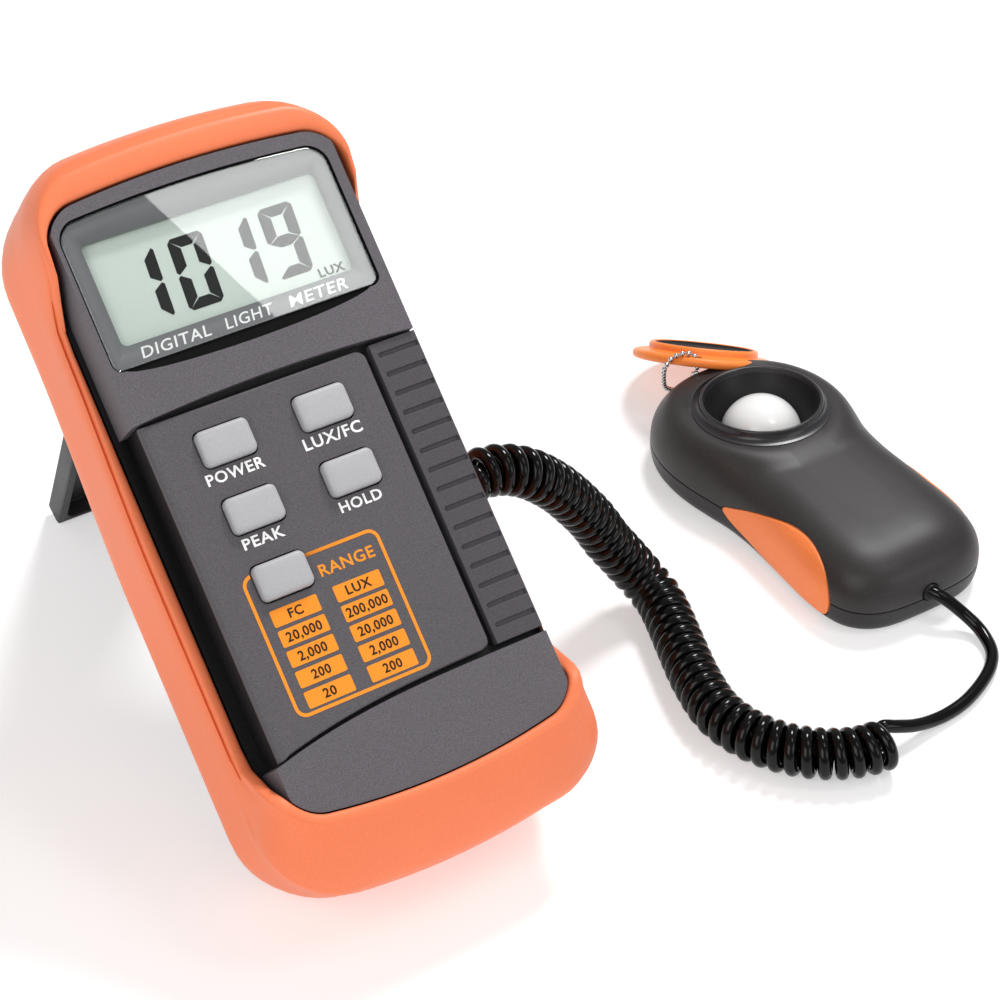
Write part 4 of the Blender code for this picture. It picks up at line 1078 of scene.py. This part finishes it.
def sensor_body():
    """Two shells that meet at a seam, with pockets for the side grips and a seat for the collar."""
    top = sensor_shell("sensor_shell_top", (-20, SEAM_Z + SEAM_GAP / 2), SENSOR_LOOK)
    base = sensor_shell("sensor_shell_base", (SEAM_Z - SEAM_GAP / 2, 60), SENSOR_UNDER)
    levels = ((2.2, 5.2), (5, 4.2), (12.0, 4.8), (14.2, 9.0))
    inside = [at_n(sensor_outline(inset, 3), z) for z, inset in levels]
    for shell in (top, base):
        carve(shell, loft("hollow", inside, SENSOR))
    seat = ((0, -12), (14.6, -12), (14.6, -2.45), (15.8, -2.45), (15.8, 6), (0, 6))
    carve(top, turned("seat", seat, RING))
    for sign in (1, -1):
        for shell in (top, base):
            carve(shell, carve(grip_lens(sign, 0.25), loft("core", sensor_rings(1.5), SENSOR)))
    way_in = SENSOR @ Matrix.Translation(TAIL_AT) @ ALONG_TAIL
    for shell in (top, base):
        carve(shell, bore(2.2, -6, 6, way_in, 40))
    screw_well = ((0, -1), (2.6, -1), (2.6, 1.5), (1.4, 1.5), (1.4, 7.0), (0, 7.0))
    for y in (-28.0, 36.0):
        carve(base, turned("screw_well", screw_well, SENSOR @ Matrix.Translation((0, y, 0)), steps=40))
    for shell in (top, base):
        soften(shell, 0.22, 2, angle=50, shade_angle=45)
    belongs(top, "sensor", "sensor_top_case", "sensor_top_case")
    belongs(base, "sensor", "sensor_base_case", "sensor_base_case")


def side_grips():
    """The orange inlays, a little proud of the body, each a lens cut out of its skin."""
    for sign, side in ((1, "right"), (-1, "left")):
        grip = loft(f"grip_inlay_{side}", sensor_rings(-0.12), SENSOR, SENSOR_ORANGE, angle=60)
        carve(grip, grip_lens(sign, -0.05), operation="INTERSECT")
        carve(grip, loft("core", sensor_rings(1.2), SENSOR))
        soften(grip, 0.35, 3, angle=50, shade_angle=50)
        belongs(grip, "sensor", f"sensor_grip_{side}", f"sensor_grip_{side}")


def light_well():
    """The collar with its conical well, and the white dome in it."""
    lip = (
        (13.05, -0.75), (13.12, -0.3), (13.35, -0.05), (13.65, -0.05), (13.9, -0.3), (14.0, -0.8),
        (14.15, -1.35), (14.5, -1.85), (15.05, -2.2), (15.7, -2.4),
    )
    under = [(15.7, -2.55), (14.3, -2.55), (14.3, -9.4), (9.6, -9.4), (9.6, -8.9)]
    cone = [(9.9, -8.6), (10.5, -7.2), (12.0, -3.4), (12.9, -1.2)]
    ring = turned("collar_ring", smooth(lip, 4) + under + cone, RING, COLLAR, steps=128, angle=45)
    lining = (
        (9.55, -8.95), (9.85, -8.65), (10.42, -7.2), (11.92, -3.4), (12.76, -1.3), (12.82, -1.32),
        (12.9, -8.9),
    )
    dark = turned("collar_wall", lining, RING, WELL, steps=128)
    whole = join("collar_with_well", ring, dark)
    shade(whole, 45)
    belongs(whole, "sensor", "light_collar", "light_collar")
    foot = -9.3

    def arch(radius, rise, steps):
        """A quarter of an ellipse from the dome's foot to its top."""
        angles = [math.pi / 2 * i / steps for i in range(steps)]
        return [(radius * math.cos(a), foot + rise * math.sin(a)) for a in angles] + [(0, foot + rise)]

    flange = [(9.2, -9.75), (11.4, -9.75), (11.4, -10.6), (7.8, -10.6)]
    profile = arch(9.2, 8.9, 18)[::-1] + flange + arch(7.8, 7.6, 9)
    dome = turned("dome", profile, RING, DOME, steps=96, angle=45)
    belongs(dome, "sensor", "diffuser_dome", "diffuser_dome")


# ---------------------------------------------------------------- the cap and its chain
CHAIN_HOLE = (0, -14.7, 0)


def sensor_cap():
    """The cap with its open side up: a thick soft flange, and a cup with a black inside."""
    edge = (
        (15.3, 0.0), (16.1, 0.25), (16.45, 0.8), (16.45, 1.5), (16.1, 2.05), (15.3, 2.35), (14.2, 2.45),
        (13.2, 2.6),
    )
    cup = ((12.85, 2.8), (12.8, 3.7), (12.6, 4.15), (12.2, 4.35), (11.85, 4.25), (11.7, 3.9), (11.65, 3.0))
    profile = [(0, 0), (14.6, 0), *smooth(edge, 4), *smooth(cup, 4), (11.6, 1.3), (0, 1.3)]
    shell = turned("cap_dish", profile, CAP, CAP_LOOK, steps=128, angle=45)
    carve(shell, bore(1.15, -4, 4, CAP @ Matrix.Translation(CHAIN_HOLE), 32))
    shade(shell, 45)
    belongs(shell, "cap", "cap_shell", "cap_shell")
    lining = [(0, 1.55), (11.4, 1.55), (11.4, 4.1), (11.2, 4.2), (10.9, 4.1), (10.6, 3.95), (0, 3.95)]
    liner = turned("cap_lining", lining, CAP, LINER_AND_SHADE_BLACK, steps=96)
    belongs(liner, "cap", "cap_liner", "cap_liner")


CHAIN_AT_CAP = (
    (0, -14.7, -1.3), (0, -14.7, 1.0), (-0.4, -15.0, 2.4), (-2.8, -15.6, 3.0), (-5.6, -16.0, 1.7),
    (-7.2, -15.9, -1.0),
)
CHAIN_PATH = (
    (120.3, 84.6, 10.9), (122.2, 86.2, 7.2), (125.6, 87.1, 4.4), (128.6, 85.4, 2.9), (128.9, 83.0, 4.9),
    (128.3, 83.0, 8.0), (127.2, 82.6, 11.2),
)


def spaced(points, step):
    """Points at equal distances along a closed line."""
    p = np.array(points + points[:1], float)
    length = np.concatenate([[0], np.cumsum(np.linalg.norm(np.diff(p, axis=0), axis=1))])
    count = int(round(length[-1] / step))
    marks = np.linspace(0, length[-1], count, endpoint=False)
    return [tuple(np.interp(m, length, p[:, k]) for k in range(3)) for m in marks]


def cap_chain():
    """The ball chain: beads with a thin wire between them, in a loop through the cap and the staple."""
    path = [tuple(CAP_PLACE @ Vector(p)) for p in CHAIN_AT_CAP] + list(CHAIN_PATH)
    line = smooth(path, 8, closed=True)
    bm = bmesh.new()
    for spot in spaced(line, BEAD_SPACING):
        ball = bmesh.ops.create_icosphere(bm, subdivisions=2, radius=BEAD_RADIUS)
        bmesh.ops.translate(bm, vec=spot, verts=ball["verts"])
    chain = piece("ball_chain_beads", bm, FLOOR, STEEL, 60)
    wire = wire_mesh("ball_chain_wire", spaced(line, 0.6), 0.16, 6, STEEL, closed=True)
    whole = join("ball_chain", chain, wire)
    shade(whole, 60)
    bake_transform(whole)
    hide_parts("cap_chain")


def frames_along(points, closed=False):
    """Two directions across a line at each point, carried along without twisting."""
    p = np.array(points, float)
    if closed:
        tangent = np.roll(p, -1, axis=0) - np.roll(p, 1, axis=0)
    else:
        tangent = np.gradient(p, axis=0)
    tangent /= np.linalg.norm(tangent, axis=1)[:, None]
    side = np.cross(tangent[0], (0.0, 0.0, 1.0))
    if np.linalg.norm(side) < 1e-3:
        side = np.cross(tangent[0], (0.0, 1.0, 0.0))
    sides = []
    for t in tangent:
        side = side - t * np.dot(side, t)
        side /= np.linalg.norm(side)
        sides.append(side.copy())
    sides = np.array(sides)
    return sides, np.cross(tangent, sides)


def wire_mesh(name, points, radius, around, mat, closed=False):
    """A round wire along a line in the floor's frame, with filled ends."""
    turns = [2 * math.pi * k / around for k in range(around)]
    rings = []
    for centre, a, b in zip(np.array(points, float), *frames_along(points, closed)):
        rings.append([tuple(centre + radius * (math.cos(t) * a + math.sin(t) * b)) for t in turns])
    return loft(name, rings, FLOOR, mat, closed=closed, angle=60)


COIL_PATH = (
    (37.9, 35.9, 50.1), (41.4, 35.9, 50.0), (45.0, 35.6, 49.4), (49.0, 35.1, 47.7), (53.2, 34.9, 44.6),
    (58.7, 35.3, 38.9), (63.4, 35.5, 32.7), (67.5, 35.4, 26.6), (71.0, 35.1, 20.2), (74.2, 34.5, 15.2),
    (77.0, 33.3, 10.6), (78.9, 30.8, 7.3), (79.3, 26.6, 5.7), (77.7, 20.7, 5.55), (74.9, 12.5, 5.55),
    (71.7, 2.5, 5.55), (69.8, -7.5, 5.55), (71.0, -15.5, 5.55), (74.0, -21.8, 5.55), (78.0, -26.6, 5.55),
    (82.8, -30.2, 5.55), (88.0, -32.4, 5.55), (93.2, -33.2, 5.55),
)
LEAD_PATH = (
    (94.9, -29.3, 6.1), (98.0, -30.1, 5.3), (102.2, -30.5, 3.7), (106.8, -30.3, 2.3), (111.5, -30.0, 1.7),
    (116.5, -29.2, 1.6), (121, -27.7, 1.6), (125.4, -25.6, 1.6), (129.0, -23.2, 1.6), (131.7, -20.3, 1.65),
    (133.2, -16.8, 1.8), (133.6, -13.2, 2.5), (132.5, -9.7, 4.1), (130.7, -6.9, 6.1), (129.2, -4.9, 7.2),
    (128.4, -3.2, 7.4),
)


def cord_line():
    """The wire's own centreline: out of the gland, round and round the coil's path, then the plain end."""
    per_turn = 28
    opening_turn = 0.35
    p = np.array(smooth(COIL_PATH, 24), float)
    run = np.concatenate([[0], np.cumsum(np.linalg.norm(np.diff(p, axis=0), axis=1))])
    turns = int(run[-1] / TURN_PITCH)
    marks = np.linspace(0, run[-1], turns * per_turn + 1)
    spine = np.stack([np.interp(marks, run, p[:, k]) for k in range(3)], axis=1)
    line = []
    for i, (centre, a, b) in enumerate(zip(spine, *frames_along(spine))):
        turn = 2 * math.pi * (0.625 + i / per_turn)
        r = COIL_RADIUS * ease(max(0.05, i / (opening_turn * per_turn)))
        line.append(tuple(centre + r * (math.cos(turn) * a + math.sin(turn) * b)))
    return line + smooth([line[-1], *LEAD_PATH], 6)[1:]


def cord():
    """The wire, in place of the CAD coil and lead."""
    line = cord_line()
    wire = wire_mesh("cord", line, WIRE_D / 2, 12, CORD_LOOK)
    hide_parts("cord_coil", "cord_lead")
    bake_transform(wire)


camera()
studio()
cord()
holster()
front_case()
keypad()
side_grip()
for key_name in BUTTONS:
    key(key_name)
printing()
display()
tilt_stand()
carried_over()
glands()
sensor_body()
side_grips()
light_well()
sensor_cap()
cap_chain()
